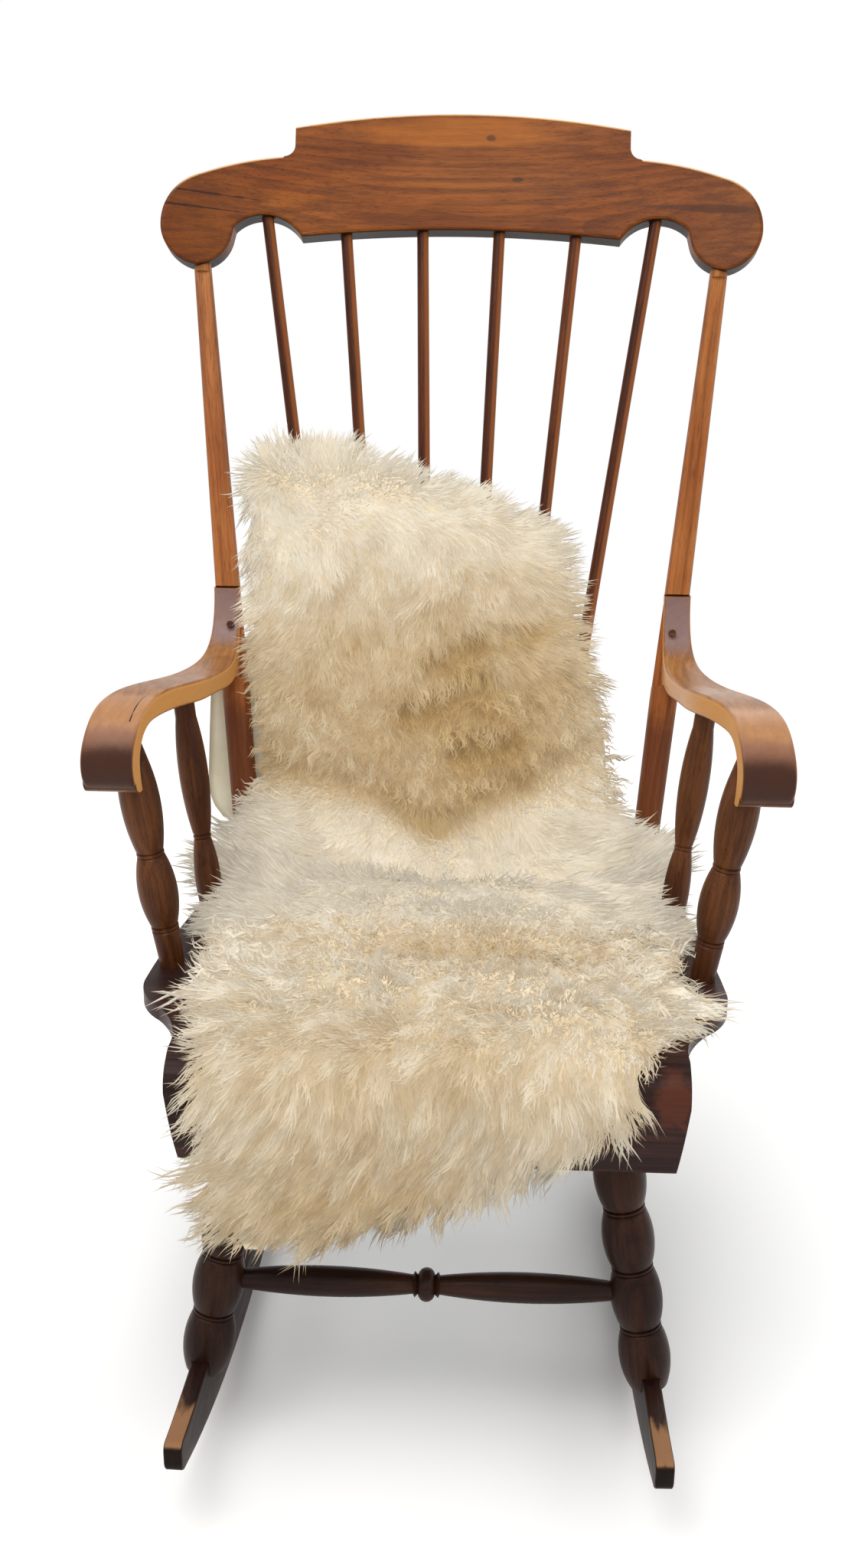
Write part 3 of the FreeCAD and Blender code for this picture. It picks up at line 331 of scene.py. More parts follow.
def finish_wood():
    """Every wooden piece has its own length of grain."""
    along_x = Vector((1, 0, 0))
    along_y = Vector((0, 1, 0))
    finish("crest_rail", crest_tones, along_x, pith=(0.0, 0.05, 0.02), gap=0.010, ripple=0.05, figure=0.68,
           patches=0.65, shine=0.40, marks=[
               Mark(spot((-0.01, 0.43, 1.112), (0.13, 0.10, 0.020), 0.6), rgb(0.44, 0.135, 0.010), 0.35),
               Mark(crack((-0.293, 0, 1.0575), (-0.200, 0, 1.0445)), soot, depth=4.0),
               Mark(crack((-0.304, 0, 1.0440), (-0.220, 0, 1.0335)), soot, depth=4.0),
               Mark(spot((0.029, 0.36, 1.107), (0.007, 0.2, 0.004), 1.0), soot, 0.6),
               Mark(spot((0.058, 0.36, 1.067), (0.008, 0.2, 0.003), 1.0), soot, 0.6),
               Mark(spot((0.250, 0.36, 1.043), (0.060, 0.2, 0.005), 1.2), soot, 0.5),
               Mark(spot((-0.27, 0.36, 1.02), (0.07, 0.2, 0.06), 0.6), crest_tones[0], 0.4),
               Mark(spot((0.27, 0.36, 1.02), (0.07, 0.2, 0.06), 0.6), crest_tones[0], 0.3),
               # Painted highlight along the rounded front of the crest's top edge
               Mark(facing((0, -0.45, 0.89), 0.88, 0.98), rgb(0.70, 0.42, 0.18), 0.75),
               # Painted shade: the crest's underside is painted near black
               Mark(facing((0, 0, -1), 0.35, 0.75), rgb(0.010, 0.004, 0.002), 0.97)])
    for side, way in (("left", 1), ("right", -1)):
        middle_x = lengthwise(nodes["back_post_" + side])[0].x
        finish("back_post_" + side, post_tones, gap=0.006, figure=0.55, shine=0.34, coat=0.06, marks=[
            Mark(spot((middle_x * 0.9, 0.13, 0.48), (0.08, 0.08, 0.13)), spindle_tones[1], 0.7)])
        middle_x = lengthwise(nodes["arm_" + side])[0].x
        marks = [
            # Painted highlight: a pale sheen on the arm top just behind the scroll
            Mark(both(facing((0, -0.3, 1), 0.35, 0.8), spot((middle_x, -0.110, 0.655), (0.2, 0.055, 0.05), 0.5)),
                 rgb(0.44, 0.235, 0.125), 0.5),
            Mark(spot((middle_x, -0.140, 0.612), (0.2, 0.045, 0.040), 0.4), rgb(0.165, 0.066, 0.044), 0.72),
            Mark(both(facing((0, -1, 0.0), 0.45, 0.9), spot((middle_x, -0.137, 0.593), (0.2, 0.05, 0.042), 0.4)),
                 rgb(0.036, 0.013, 0.008), 0.92),
            # Painted reflection: a grey sheen on the lap face
            Mark(both(facing((0, -1, 0.3), 0.6, 0.95), spot((middle_x, 0.195, 0.64), (0.2, 0.05, 0.06), 0.5)),
                 painted_sheen_grey, 0.8),
            Mark(both(facing((1, 0, 0), 0.70, 0.95, absolute=True),
                      spot((middle_x, 0.03, 0.62), (0.3, 0.42, 0.35), 0.9, (60.0, 10.0, 90.0))),
                 rgb(0.54, 0.255, 0.072), 0.85)]
        if side == "right":
            top_crack = crack((-0.2665, -0.112, 0.0), (-0.2610, -0.070, 0.0), 0.0004, plane=(1.0, 1.0, 0.0))
            marks.append(Mark(both(facing((0, 0, 1), 0.4, 0.7), top_crack), soot, depth=4.0))
        finish("arm_" + side, arm_tones, along_y, pith=(0.1 * way, 0.03, 0.05), gap=0.008, figure=0.42,
               patches=0.45, marks=marks, shine=0.30, coat=0.12)
        for kind, tones in (("arm_post_", turned_tones), ("arm_spindle_", turned_tones),
                            ("front_leg_", lower_tones), ("rear_leg_", lower_tones)):
            finish(kind + side, tones, pith=(way * 0.2, 0.012, 0.016), gap=0.006, figure=0.55, shine=0.34, coat=0.06)
        finish("side_stretcher_" + side, lower_tones, along_y, gap=0.006, figure=0.55, shine=0.36)
        middle_x = lengthwise(nodes["rocker_" + side])[0].x
        finish("rocker_" + side, lower_tones, along_y, gap=0.005, figure=0.6, patches=0.5, shine=0.42, coat=0.06,
               marks=[
                   Mark(both(facing((0, -0.3, 1), 0.7, 0.9),
                             spot((middle_x, -0.355, 0.10), (0.1, 0.045, 0.1), 1.6, (90.0, 14.0, 90.0))),
                        rgb(0.30, 0.15, 0.07), 0.8, 0.25),
                   Mark(both(facing((0, -1, 0.1), 0.7, 0.9), spot((middle_x, -0.40, 0.08), (0.1, 0.05, 0.1), 0.3)),
                        soot, 0.75, 0.3),
                   Mark(facing((0, 0, -1), 0.8, 0.95), pale_wood, 0.3, 0.3)])
    for number in range(1, 7):
        # Painted highlight: the side facing the right front is lighter; spindle 2 also has a dark spot
        highlight_and_spot = [Mark(facing((0.8, -0.6, 0), 0.55, 0.95), post_tones[1], 0.6)]
        if number == 2:
            highlight_and_spot.append(Mark(spot((-0.110, 0.29, 0.942), (0.02, 0.04, 0.006), 1.0), soot, 0.8))
        finish("back_spindle_%d" % number, spindle_tones, pith=(number * 0.3, 0.01, 0.012), gap=0.004, figure=0.6,
               marks=highlight_and_spot, shine=0.32, coat=0.06)
    for name in ("front_stretcher", "rear_stretcher"):
        finish(name, lower_tones, along_x, gap=0.006, figure=0.55, shine=0.36)
    finish("seat_plank", dark_tones, along_x, gap=0.009, ripple=0.05, shine=0.4)
    finish("seat_front_roll", dark_tones, along_x, gap=0.006, figure=0.7, shine=0.42, marks=[
        Mark(spot((0.205, -0.27, 0.375), (0.02, 0.05, 0.03), 1.3, (60.0, 60.0, 90.0)), rgb(0.12, 0.030, 0.012), 0.5)])
    for name in ("rocker_pins", "arm_pins"):
        finish(name, turned_tones, along_x, gap=0.003, shine=0.5, coat=0.1)


# Sheepskin. Rows from the top of the back to the front's low edge: Y and Z under the
# skin, the way outwards in Y and Z, the left and right edges, and how deep the wool is
skin_rows = (
    (0.2772, 0.8158, -0.919, 0.395, -0.172, -0.123, 0.018),
    (0.2665, 0.7909, -0.919, 0.395, -0.205, -0.078, 0.030),
    (0.2541, 0.7619, -0.919, 0.395, -0.212, 0.024, 0.036),
    (0.2381, 0.7247, -0.919, 0.395, -0.210, 0.109, 0.040),
    (0.2167, 0.6750, -0.919, 0.395, -0.205, 0.135, 0.040),
    (0.1918, 0.6170, -0.919, 0.395, -0.194, 0.149, 0.042),
    (0.1633, 0.5508, -0.919, 0.395, -0.184, 0.172, 0.044),
    (0.1349, 0.4846, -0.919, 0.395, -0.177, 0.179, 0.046),
    (0.0788, 0.4090, -0.716, 0.698, -0.186, 0.186, 0.048),
    (0.0066, 0.4010, 0.000, 1.000, -0.194, 0.194, 0.048),
    (-0.0547, 0.4010, 0.000, 1.000, -0.208, 0.205, 0.046),
    (-0.1161, 0.4010, 0.000, 1.000, -0.212, 0.217, 0.044),
    (-0.1810, 0.4010, 0.000, 1.000, -0.208, 0.227, 0.044),
    (-0.2280, 0.4010, 0.000, 1.000, -0.203, 0.222, 0.044),
    (-0.2730, 0.3950, -0.707, 0.707, -0.201, 0.212, 0.044),
    (-0.2810, 0.3632, -1.000, 0.000, -0.198, 0.198, 0.042),
    (-0.2810, 0.3354, -1.000, 0.000, -0.196, 0.146, 0.040),
    (-0.2810, 0.3023, -1.000, 0.000, -0.196, 0.076, 0.038),
    (-0.2810, 0.2727, -1.000, 0.000, -0.194, 0.005, 0.036),
    (-0.2810, 0.2449, -1.000, 0.000, -0.182, -0.071, 0.032),
    (-0.2810, 0.2240, -1.000, 0.000, -0.165, -0.109, 0.020),
)
skin_thickness = 0.0025
wool_mass_share = 0.52
wool_inset = 0.017
wool_top_gap = 0.014
wool_low_gap = 0.030
smallest_lock, largest_lock = 0.65, 1.25
mass_columns, mass_rows = 64, 170
hide_columns, hide_rows = 60, 110
left_inset = ((0.16, 0.22, 0.36, 0.46, 0.58), (0.2, -0.6, -0.6, 0.0, 1.0))
right_inset = ((0.38, 0.42, 0.72, 0.80), (1.0, 0.1, 0.2, 2.2))


def skin_lengths():
    """Distance of each row from the skin's top edge."""
    lengths = [0.0]
    for last, row in zip(skin_rows, skin_rows[1:]):
        lengths.append(lengths[-1] + math.hypot(row[0] - last[0], row[1] - last[1]))
    return lengths


row_lengths = skin_lengths()
skin_length = row_lengths[-1]


def skin_row(distance):
    """The row's numbers anywhere along the skin, smoothed between the listed rows."""
    distance = min(max(distance, 0.0), skin_length)
    index = 0
    while index < len(row_lengths) - 2 and row_lengths[index + 1] < distance:
        index += 1
    span = row_lengths[index + 1] - row_lengths[index]
    t = (distance - row_lengths[index]) / span
    values = []
    for k in range(7):
        p0 = skin_rows[max(index - 1, 0)][k]
        p1 = skin_rows[index][k]
        p2 = skin_rows[index + 1][k]
        p3 = skin_rows[min(index + 2, len(skin_rows) - 1)][k]
        values.append(0.5 * (2 * p1 + (p2 - p0) * t + (2 * p0 - 5 * p1 + 4 * p2 - p3) * t * t
                             + (3 * p1 - p0 - 3 * p2 + p3) * t ** 3))
    return values


def edge_waver(distance, side):
    """How far the edge of the wool stands in or out of its plain line."""
    sample = Vector((distance * 22, side * 3.1, 0.4))
    return 0.010 * noise.noise(sample) + 0.005 * noise.noise(sample * 2.7)


def over_row(row, x, height):
    """Point at x and at a height over one row of the skin."""
    y, z, out_y, out_z = row[:4]
    size = math.hypot(out_y, out_z)
    return Vector((x, y + out_y / size * height, z + out_z / size * height))


def skin_point(u, distance, height=0.0):
    """Point over the skin: u from -1 at its left edge to 1 at its right edge."""
    row = skin_row(distance)
    left, right = row[4:6]
    inset = wool_inset * min(1.0, (right - left) * 0.3 / wool_inset)
    left += edge_waver(distance, -1) + inset * float(np.interp(distance, *left_inset))
    right += edge_waver(distance, 1) - inset * float(np.interp(distance, *right_inset))
    return over_row(row, (left + right) / 2 + (right - left) / 2 * u, height)


def in_scene(name, data):
    """A new object in the scene."""
    thing = bpy.data.objects.new(name, data)
    bpy.context.scene.collection.objects.link(thing)
    return thing


def mesh_of(name, points, faces, material, smooth=True):
    mesh = bpy.data.meshes.new(name)
    mesh.from_pydata(points, [], faces)
    mesh.update()
    mesh.materials.append(material)
    if smooth:
        mesh.polygons.foreach_set("use_smooth", [True] * len(mesh.polygons))
    return in_scene(name, mesh)


def point_values(mesh, name, values):
    """Gives each point of a mesh a number, or a vector of three."""
    if isinstance(values[0], (int, float)):
        mesh.attributes.new(name, "FLOAT", "POINT").data.foreach_set("value", values)
    else:
        data = mesh.attributes.new(name, "FLOAT_VECTOR", "POINT").data
        data.foreach_set("vector", [number for vector in values for number in vector])


def grid_faces(columns, rows, offset=0, flip=False):
    """Faces of a grid of points, listed row by row."""
    faces = []
    for row in range(rows - 1):
        for column in range(columns - 1):
            a = offset + row * columns + column
            face = (a, a + columns, a + columns + 1, a + 1)
            faces.append(face[::-1] if flip else face)
    return faces


def rim_faces(columns, rows, offset):
    """Strip between the edges of two grids, from the first grid to the second."""
    loop = list(range(columns))
    loop += [row * columns + columns - 1 for row in range(1, rows)]
    loop += [(rows - 1) * columns + column for column in range(columns - 2, -1, -1)]
    loop += [row * columns for row in range(rows - 2, 0, -1)]
    faces = []
    for index, a in enumerate(loop):
        b = loop[(index + 1) % len(loop)]
        faces.append((a, b, b + offset, a + offset))
    return faces


def closed_sheet(name, columns, rows, top, under, material):
    """A closed form between two grids of points."""
    faces = grid_faces(columns, rows) + grid_faces(columns, rows, columns * rows, flip=True)
    faces += [face[::-1] for face in rim_faces(columns, rows, columns * rows)]
    return mesh_of(name, top + under, faces, material)


def within(value, low, high):
    """0 up to the low end, 1 from the high end, and straight in between."""
    return min(1.0, max(0.0, (value - low) / (high - low)))


# Creases of the skin: both ends as X and distance along it, depth and width
skin_creases = (
    (-0.020, 0.235, 0.032, 0.210, 0.55, 0.012), (0.032, 0.210, 0.086, 0.193, 0.35, 0.012),
    (-0.036, 0.283, 0.033, 0.252, 0.80, 0.012), (0.013, 0.322, 0.064, 0.313, 0.60, 0.012),
    (-0.114, 0.166, -0.085, 0.104, 0.35, 0.012), (-0.190, 0.338, -0.100, 0.350, 0.45, 0.016),
    (-0.100, 0.350, -0.010, 0.398, 0.45, 0.018), (-0.010, 0.398, 0.090, 0.343, 0.45, 0.018),
    (0.090, 0.343, 0.150, 0.297, 0.40, 0.014), (-0.050, 0.645, 0.120, 0.640, 0.30, 0.016),
)


def skin_lumps(x, distance):
    """Lumps of the wool, with deep creases where the skin folds."""
    sample = Vector((x * 11, distance * 11, 0.7))
    lump = 0.55 * noise.noise(sample) + 0.35 * noise.noise(sample * 2.3) + 0.2 * noise.noise(sample * 5.1)
    crease = 0.0
    for x0, d0, x1, d1, depth, wide in skin_creases:
        way = Vector((x1 - x0, d1 - d0))
        off = Vector((x - x0, distance - d0))
        away = (off - way * within(off.dot(way), 0, way.length_squared)).length
        crease = max(crease, depth * hill(away, 0, wide))
    return lump * 0.32, crease


def hill(value, middle, width):
    """1 in the middle, less to both sides."""
    return math.exp(-((value - middle) / width) ** 2)


def below(value, edge, softness):
    """1 well below an edge, 0 well above it."""
    return 1 / (1 + math.exp((value - edge) / softness))


def seat_fold(x):
    """Distance along the skin of the fold between its back and its seat."""
    return float(np.interp(x, (-0.20, -0.10, -0.01, 0.09, 0.15, 0.20), (0.340, 0.352, 0.400, 0.345, 0.300, 0.285)))


def rear_corner(x, distance):
    """1 where the wool stands up round the feet of the back posts."""
    return within(abs(x), 0.07, 0.16) * hill(distance, 0.435, 0.065)


def tan_and_painted_shade(x, distance):
    """0 for ivory wool, 1 for tan: the real tan of its lower back and seat front, with painted shade over its front
    and hanging edge.
    """
    lower_back = below(distance, seat_fold(x), 0.012) * below(0.135 + 0.25 * abs(x - 0.03), distance, 0.020)
    lower_back *= 0.68 + 0.20 * hill(x, 0.05, 0.07) * hill(distance, 0.29, 0.07)
    lower_back *= below(x, 0.145, 0.015)
    seat_front = 0.42 * hill(x, 0.04, 0.15) * hill(distance, 0.64, 0.05)
    # Painted shade: the front and the hanging edge are painted darker tan where the wool lies in shadow
    front = 0.42 * hill(x, -0.02, 0.19) * hill(distance, 0.79, 0.06)
    hanging = 0.75 * hill(x, -0.06, 0.16) * below(0.85, distance, 0.020)
    return min(1.0, 0.04 + lower_back + seat_front + front + hanging)


def wool_fibre():
    """Fine fibres along a lock: painted shade in the gaps between them, and their relief."""
    tree, given, made = new_group("Wool fibre", [("Vector", ["Strand"])], [("Float", ["Gap", "Height"])])
    fibres = noise_of(tree, given["Strand"], (22.0, 1.6, 7.0), 3.0, 0.6)
    tree.links.new(ramp(tree, fibres, 0.52, 0.30), made["Gap"])
    tree.links.new(fibres, made["Height"])
    return tree


fibre_group = wool_fibre()


def attribute(tree, name, out="Fac"):
    return step(tree, "ShaderNodeAttribute", None, attribute_name=name).outputs[out]


def wool(name, on_locks=True):
    """Cream wool: ivory at the tips and tan at the roots, the roots partly as painted shade deep in the wool; the
    shade attribute adds real tan and painted shade in the folds and at the front.
    """
    material, tree, surface, place = new_material(name)
    # The tan share follows the shade attribute: real tan, and painted shade in folds, at the front and at the hanging
    # edge, with random unevenness
    uneven = either_way(tree, noise_of(tree, place, 26.0, 4.0), 0.7)
    tan = sum_of(tree, "ADD", attribute(tree, "shade"), uneven, clamp=True)
    fibre = step(tree, "ShaderNodeGroup", None, node_tree=fibre_group)
    if on_locks:
        tree.links.new(attribute(tree, "strand", "Vector"), fibre.inputs["Strand"])
        tip = ramp(tree, attribute(tree, "tip"), 0.05, 0.75)
        tone = attribute(tree, "tone")
        root = blend(tree, tan, rgb(0.84, 0.72, 0.51), rgb(0.33, 0.195, 0.062))
    else:
        tree.links.new(vector_of(tree, "MULTIPLY", place, (9.0, 9.0, 9.0)), fibre.inputs["Strand"])
        # On the body the colour stays near the darker roots: painted shade deep in the wool under the locks
        tip = ramp(tree, noise_of(tree, place, 55.0, 4.0), 0.35, 0.75, 0.0, 0.45)
        tone = noise_of(tree, place, 40.0, 2.0)
        root = blend(tree, tan, rgb(0.70, 0.60, 0.43), rgb(0.26, 0.165, 0.065))
    end = blend(tree, tan, rgb(0.97, 0.89, 0.735), rgb(0.61, 0.41, 0.160))
    colour = blend(tree, tip, root, end)
    # The tone multiplies in a darker tan: random variation, and painted shade round the rims of the tufts
    colour = blend(tree, sum_of(tree, "MULTIPLY", tone, 0.7), colour, rgb(0.74, 0.61, 0.43), "MULTIPLY")
    # Painted shade in the gaps between the fibres
    gap = sum_of(tree, "MULTIPLY", fibre.outputs["Gap"], 0.15)
    colour = blend(tree, gap, colour, rgb(0.80, 0.68, 0.50), "MULTIPLY")
    tree.links.new(colour, surface.inputs["Base Color"])
    relief(tree, surface, fibre.outputs["Height"], 0.6, 0.002)
    set_inputs(surface, {"Roughness": 0.9, "Specular IOR Level": 0.2, "Sheen Weight": 0.3, "Sheen Roughness": 0.6,
                         "Sheen Tint": rgb(1.0, 0.95, 0.84), "Subsurface Weight": 0.1,
                         "Subsurface Radius": (0.012, 0.010, 0.008), "Subsurface Scale": 1.0})
    return material


def hide_leather():
    """Smooth pale hide under the wool."""
    material, tree, surface, place = new_material("Hide")
    mottle = ramp(tree, noise_of(tree, place, 14.0, 5.0), 0.35, 0.65)
    fine = noise_of(tree, place, 420.0, 3.0)
    colour = blend(tree, mottle, rgb(0.60, 0.54, 0.38), rgb(0.72, 0.66, 0.50))
    tree.links.new(colour, surface.inputs["Base Color"])
    relief(tree, surface, fine, 0.3, 0.0004)
    tree.links.new(ramp(tree, mottle, 0.0, 1.0, 0.62, 0.74), surface.inputs["Roughness"])
    return material


def edge_round(share):
    """Profile of the wool from its middle, 1, to its edge, 0."""
    return max(0.0, 1 - min(1.0, abs(share)) ** 3.0) ** 0.55


def end_round(distance):
    """Profile of the wool towards its top and low ends."""
    near = min(distance - wool_top_gap, skin_length - wool_low_gap - distance)
    return math.sqrt(max(0.0, 1 - max(0.0, 1 - near / 0.035) ** 2))


def lie_at(u, distance):
    """Way in which the wool lies: down the skin and out over its edges."""
    gap = 0.004
    down = skin_point(0, min(distance + gap, skin_length)) - skin_point(0, max(distance - gap, 0))
    down.normalize()
    at_top = max(0.0, 1 - distance / 0.075)
    spread = math.copysign(abs(u) ** 2.2, u) * (1.0 + 0.8 * hill(distance, 0.50, 0.10))
    if u < 0 and distance < 0.18:
        spread *= 0.25
    spread *= 1 - 0.6 * within(distance, 0.66, 0.72)
    if u > 0 and distance < 0.22:
        down *= 1 - 0.9 * u ** 3
    way = down * (1 - 1.9 * at_top) + Vector((spread, 0, 0))
    if way.length > 1:
        way.normalize()
    corner = rear_corner(skin_point(u, distance).x, distance)
    return way * (1 - 0.8 * corner) + Vector((math.copysign(1.5, u), 0.1, 0.45)) * corner


def mass_distance(row):
    """Distance along the skin of a row of the wool's body."""
    return wool_top_gap + (skin_length - wool_top_gap - wool_low_gap) * row / (mass_rows - 1)


def wool_mass():
    """The body of the wool under its locks, as a closed form."""
    top, under, lie, reach, shade = [], [], [], [], []
    for row in range(mass_rows):
        distance = mass_distance(row)
        deep = skin_row(distance)[6]
        for column in range(mass_columns):
            u = -math.cos(math.pi * column / (mass_columns - 1))
            x = skin_point(u, distance).x
            lump, crease = skin_lumps(x, distance)
            round_off = edge_round(u) * end_round(distance)
            corner = rear_corner(x, distance)
            full = wool_mass_share + 0.3 * corner + 0.14 * hill(distance, 0.50, 0.09)
            height = skin_thickness + deep * full * round_off * (1 + lump) * (1 - 0.75 * crease)
            top.append(skin_point(u, distance, height))
            under.append(skin_point(u, distance, skin_thickness * 0.8))
            lie.append(lie_at(u, distance))
            on_seat = within(distance, 0.40, 0.44) * within(-distance, -0.76, -0.68)
            side = within(abs(u), 0.6, 0.9)
            reach.append((1.0 - 0.35 * crease) * (1.0 + 0.75 * on_seat * side + 0.6 * corner * side))
            # Creases add painted shade to the tan
            shade.append(min(1.1, tan_and_painted_shade(x, distance) + 0.8 * crease))
    piece = closed_sheet("wool_mass", mass_columns, mass_rows, top, under, wool("Wool mass", on_locks=False))
    point_values(piece.data, "cover", [1.0] * len(top) + [0.0] * len(under))
    for name, values in (("reach", reach), ("shade", shade), ("lie", lie)):
        point_values(piece.data, name, values * 2)
    return piece


def lock_shape(name, length, width, sides, rings, sway, turns, hook, start):
    """One lock of wool, along Z from its root: wavy, flattened and pointed."""
    points, faces, tips, strands = [], [], [], []

    def middle(t):
        angle = turns * 2 * math.pi * t + start
        return Vector((sway * t * math.sin(angle), sway * t * 0.6 * math.cos(angle) + hook * t * t, length * t))

    for ring in range(rings):
        t = ring / rings
        radius = width / 2 * math.sin(math.pi * (0.20 + 0.80 * t)) ** 0.8
        centre = middle(t)
        for side in range(sides):
            angle = 2 * math.pi * side / sides + t * 0.9
            points.append(centre + Vector((radius * 1.25 * math.cos(angle), radius * 0.75 * math.sin(angle), 0)))
            tips.append(t)
            strands.append((side / sides, t, start))
    points.append(middle(1.0))
    tips.append(1.0)
    strands.append((0.5, 1.0, start))
    for ring in range(rings - 1):
        for side in range(sides):
            a, b = ring * sides + side, ring * sides + (side + 1) % sides
            faces.append((a, b, b + sides, a + sides))
    last = (rings - 1) * sides
    for side in range(sides):
        faces.append((last + side, last + (side + 1) % sides, len(points) - 1))
    faces.append(tuple(range(sides))[::-1])
    mesh = bpy.data.meshes.new(name)
    mesh.from_pydata(points, [], faces)
    mesh.polygons.foreach_set("use_smooth", [True] * len(faces))
    point_values(mesh, "tip", tips)
    point_values(mesh, "strand", strands)
    return bpy.data.objects.new(name, mesh)


def lock_family(name, length, width, sway, turns, hook, sides=3, rings=4, count=8):
    """A few unlike locks that the tree picks from."""
    family = bpy.data.collections.new(name)
    for number in range(count):
        family.objects.link(lock_shape(
            "%s %d" % (name, number + 1), length * chance.uniform(0.85, 1.15), width * chance.uniform(0.85, 1.15),
            sides, rings, sway * chance.uniform(0.5, 1.3), turns * chance.uniform(0.7, 1.3),
            hook * chance.uniform(-0.4, 1.2), chance.uniform(0, 6.28)))
    return family


def in_use(sockets, name):
    """The socket of this name that the node's settings switch on."""
    return [socket for socket in sockets if socket.name == name and socket.enabled][0]


def blend_value(tree, share, first, second):
    """Two numbers mixed by a share."""
    return sum_of(tree, "MULTIPLY_ADD", sum_of(tree, "SUBTRACT", second, first), share, first)


def locks_tree():
    """Locks of wool over a surface, lying the way its lie attribute says."""
    tree = bpy.data.node_groups.new("Locks over wool", "GeometryNodeTree")
    given, made = sockets_of(
        tree,
        [("Geometry", ["Geometry"]),
         ("Float", ["Locks per square metre", "Lean", "Stray", "Tufts", "Clump gap", "Clumping", "Lock length",
                    "Smallest", "Largest"]),
         ("Int", ["Seed", "Shape count"]), ("Collection", ["Lock shapes"]), ("Material", ["Wool"])],
        [("Geometry", ["Geometry"])])

    def named(name, kind):
        return step(tree, "GeometryNodeInputNamedAttribute", {"Name": name}, data_type=kind).outputs["Attribute"]

    def random_of(kind, low, high, seed_step):
        seed = sum_of(tree, "ADD", given["Seed"], float(seed_step))
        node = step(tree, "FunctionNodeRandomValue", {"Seed": seed}, data_type=kind)
        in_use(node.inputs, "Min").default_value = low
        in_use(node.inputs, "Max").default_value = high
        return in_use(node.outputs, "Value")

    density = sum_of(tree, "MULTIPLY", named("cover", "FLOAT"), given["Locks per square metre"])
    spread = step(tree, "GeometryNodeDistributePointsOnFaces", {"Mesh": given["Geometry"], "Density": density,
                  "Seed": given["Seed"]})
    normal = spread.outputs["Normal"]
    upright = scaled(tree, normal, sum_of(tree, "COSINE", given["Lean"]))
    lying = scaled(tree, named("lie", "FLOAT_VECTOR"), sum_of(tree, "SINE", given["Lean"]))
    wild = scaled(tree, random_of("FLOAT_VECTOR", (-1, -1, -1), (1, 1, 1), 11), given["Stray"])
    here = step(tree, "GeometryNodeInputPosition").outputs["Position"]
    clumps_per_metre = sum_of(tree, "DIVIDE", 1.0, given["Clump gap"])
    cells = step(tree, "ShaderNodeTexVoronoi", {"Vector": here, "Scale": clumps_per_metre}, feature="F1").outputs
    clump_chance = step(tree, "ShaderNodeSeparateXYZ", {"Vector": cells["Color"]}).outputs
    rim = ramp(tree, cells["Distance"], 0.15, 0.62)
    drift = step(tree, "ShaderNodeTexNoise", {"Vector": here, "Scale": 20.0, "Detail": 1.0}).outputs["Color"]
    drift = scaled(tree, vector_of(tree, "SUBTRACT", drift, (0.5, 0.5, 0.5)), 1.6)
    pull = sum_of(tree, "DIVIDE", sum_of(tree, "MULTIPLY", given["Clumping"], random_of("FLOAT", 0.5, 1.15, 61)),
                  given["Lock length"])
    gather = scaled(tree, vector_of(tree, "SUBTRACT", cells["Position"], here), pull)
    way = upright
    for part in (lying, gather, wild, drift):
        way = vector_of(tree, "ADD", way, part)
    along = step(tree, "FunctionNodeAlignRotationToVector", {"Vector": way}, axis="Z").outputs["Rotation"]
    flat = step(tree, "FunctionNodeAlignRotationToVector", {"Rotation": along, "Vector": normal}, axis="Y",
                pivot_axis="Z").outputs["Rotation"]
    turn = sum_of(tree, "ADD", sum_of(tree, "MULTIPLY", clump_chance["Y"], 3.0), random_of("FLOAT", -0.4, 0.4, 23))
    spin = step(tree, "ShaderNodeCombineXYZ", {"Z": turn}).outputs["Vector"]
    spin = step(tree, "FunctionNodeEulerToRotation", {"Euler": spin}).outputs["Rotation"]
    turned = step(tree, "FunctionNodeRotateRotation", {"Rotation": flat, "Rotate By": spin},
                  rotation_space="LOCAL").outputs["Rotation"]
    grown = blend_value(tree, 0.5, random_of("FLOAT", 0.0, 1.0, 37), clump_chance["Z"])
    size = blend_value(tree, grown, given["Smallest"], given["Largest"])
    size = sum_of(tree, "MULTIPLY", size, named("reach", "FLOAT"))
    short = sum_of(tree, "MULTIPLY", sum_of(tree, "MULTIPLY", given["Tufts"], rim), 0.4)
    size = sum_of(tree, "MULTIPLY", size, sum_of(tree, "SUBTRACT", 1.0, short))
    shapes = step(tree, "GeometryNodeCollectionInfo", {"Collection": given["Lock shapes"], "Separate Children": True,
                  "Reset Children": True}).outputs["Instances"]
    kind = sum_of(tree, "FRACT", sum_of(tree, "ADD", clump_chance["X"], random_of("FLOAT", 0.0, 0.25, 41)))
    kind = sum_of(tree, "MULTIPLY", kind, given["Shape count"])
    placed = step(tree, "GeometryNodeInstanceOnPoints", {"Points": spread.outputs["Points"], "Instance": shapes,
                  "Pick Instance": True, "Instance Index": kind, "Rotation": turned,
                  "Scale": size}).outputs["Instances"]
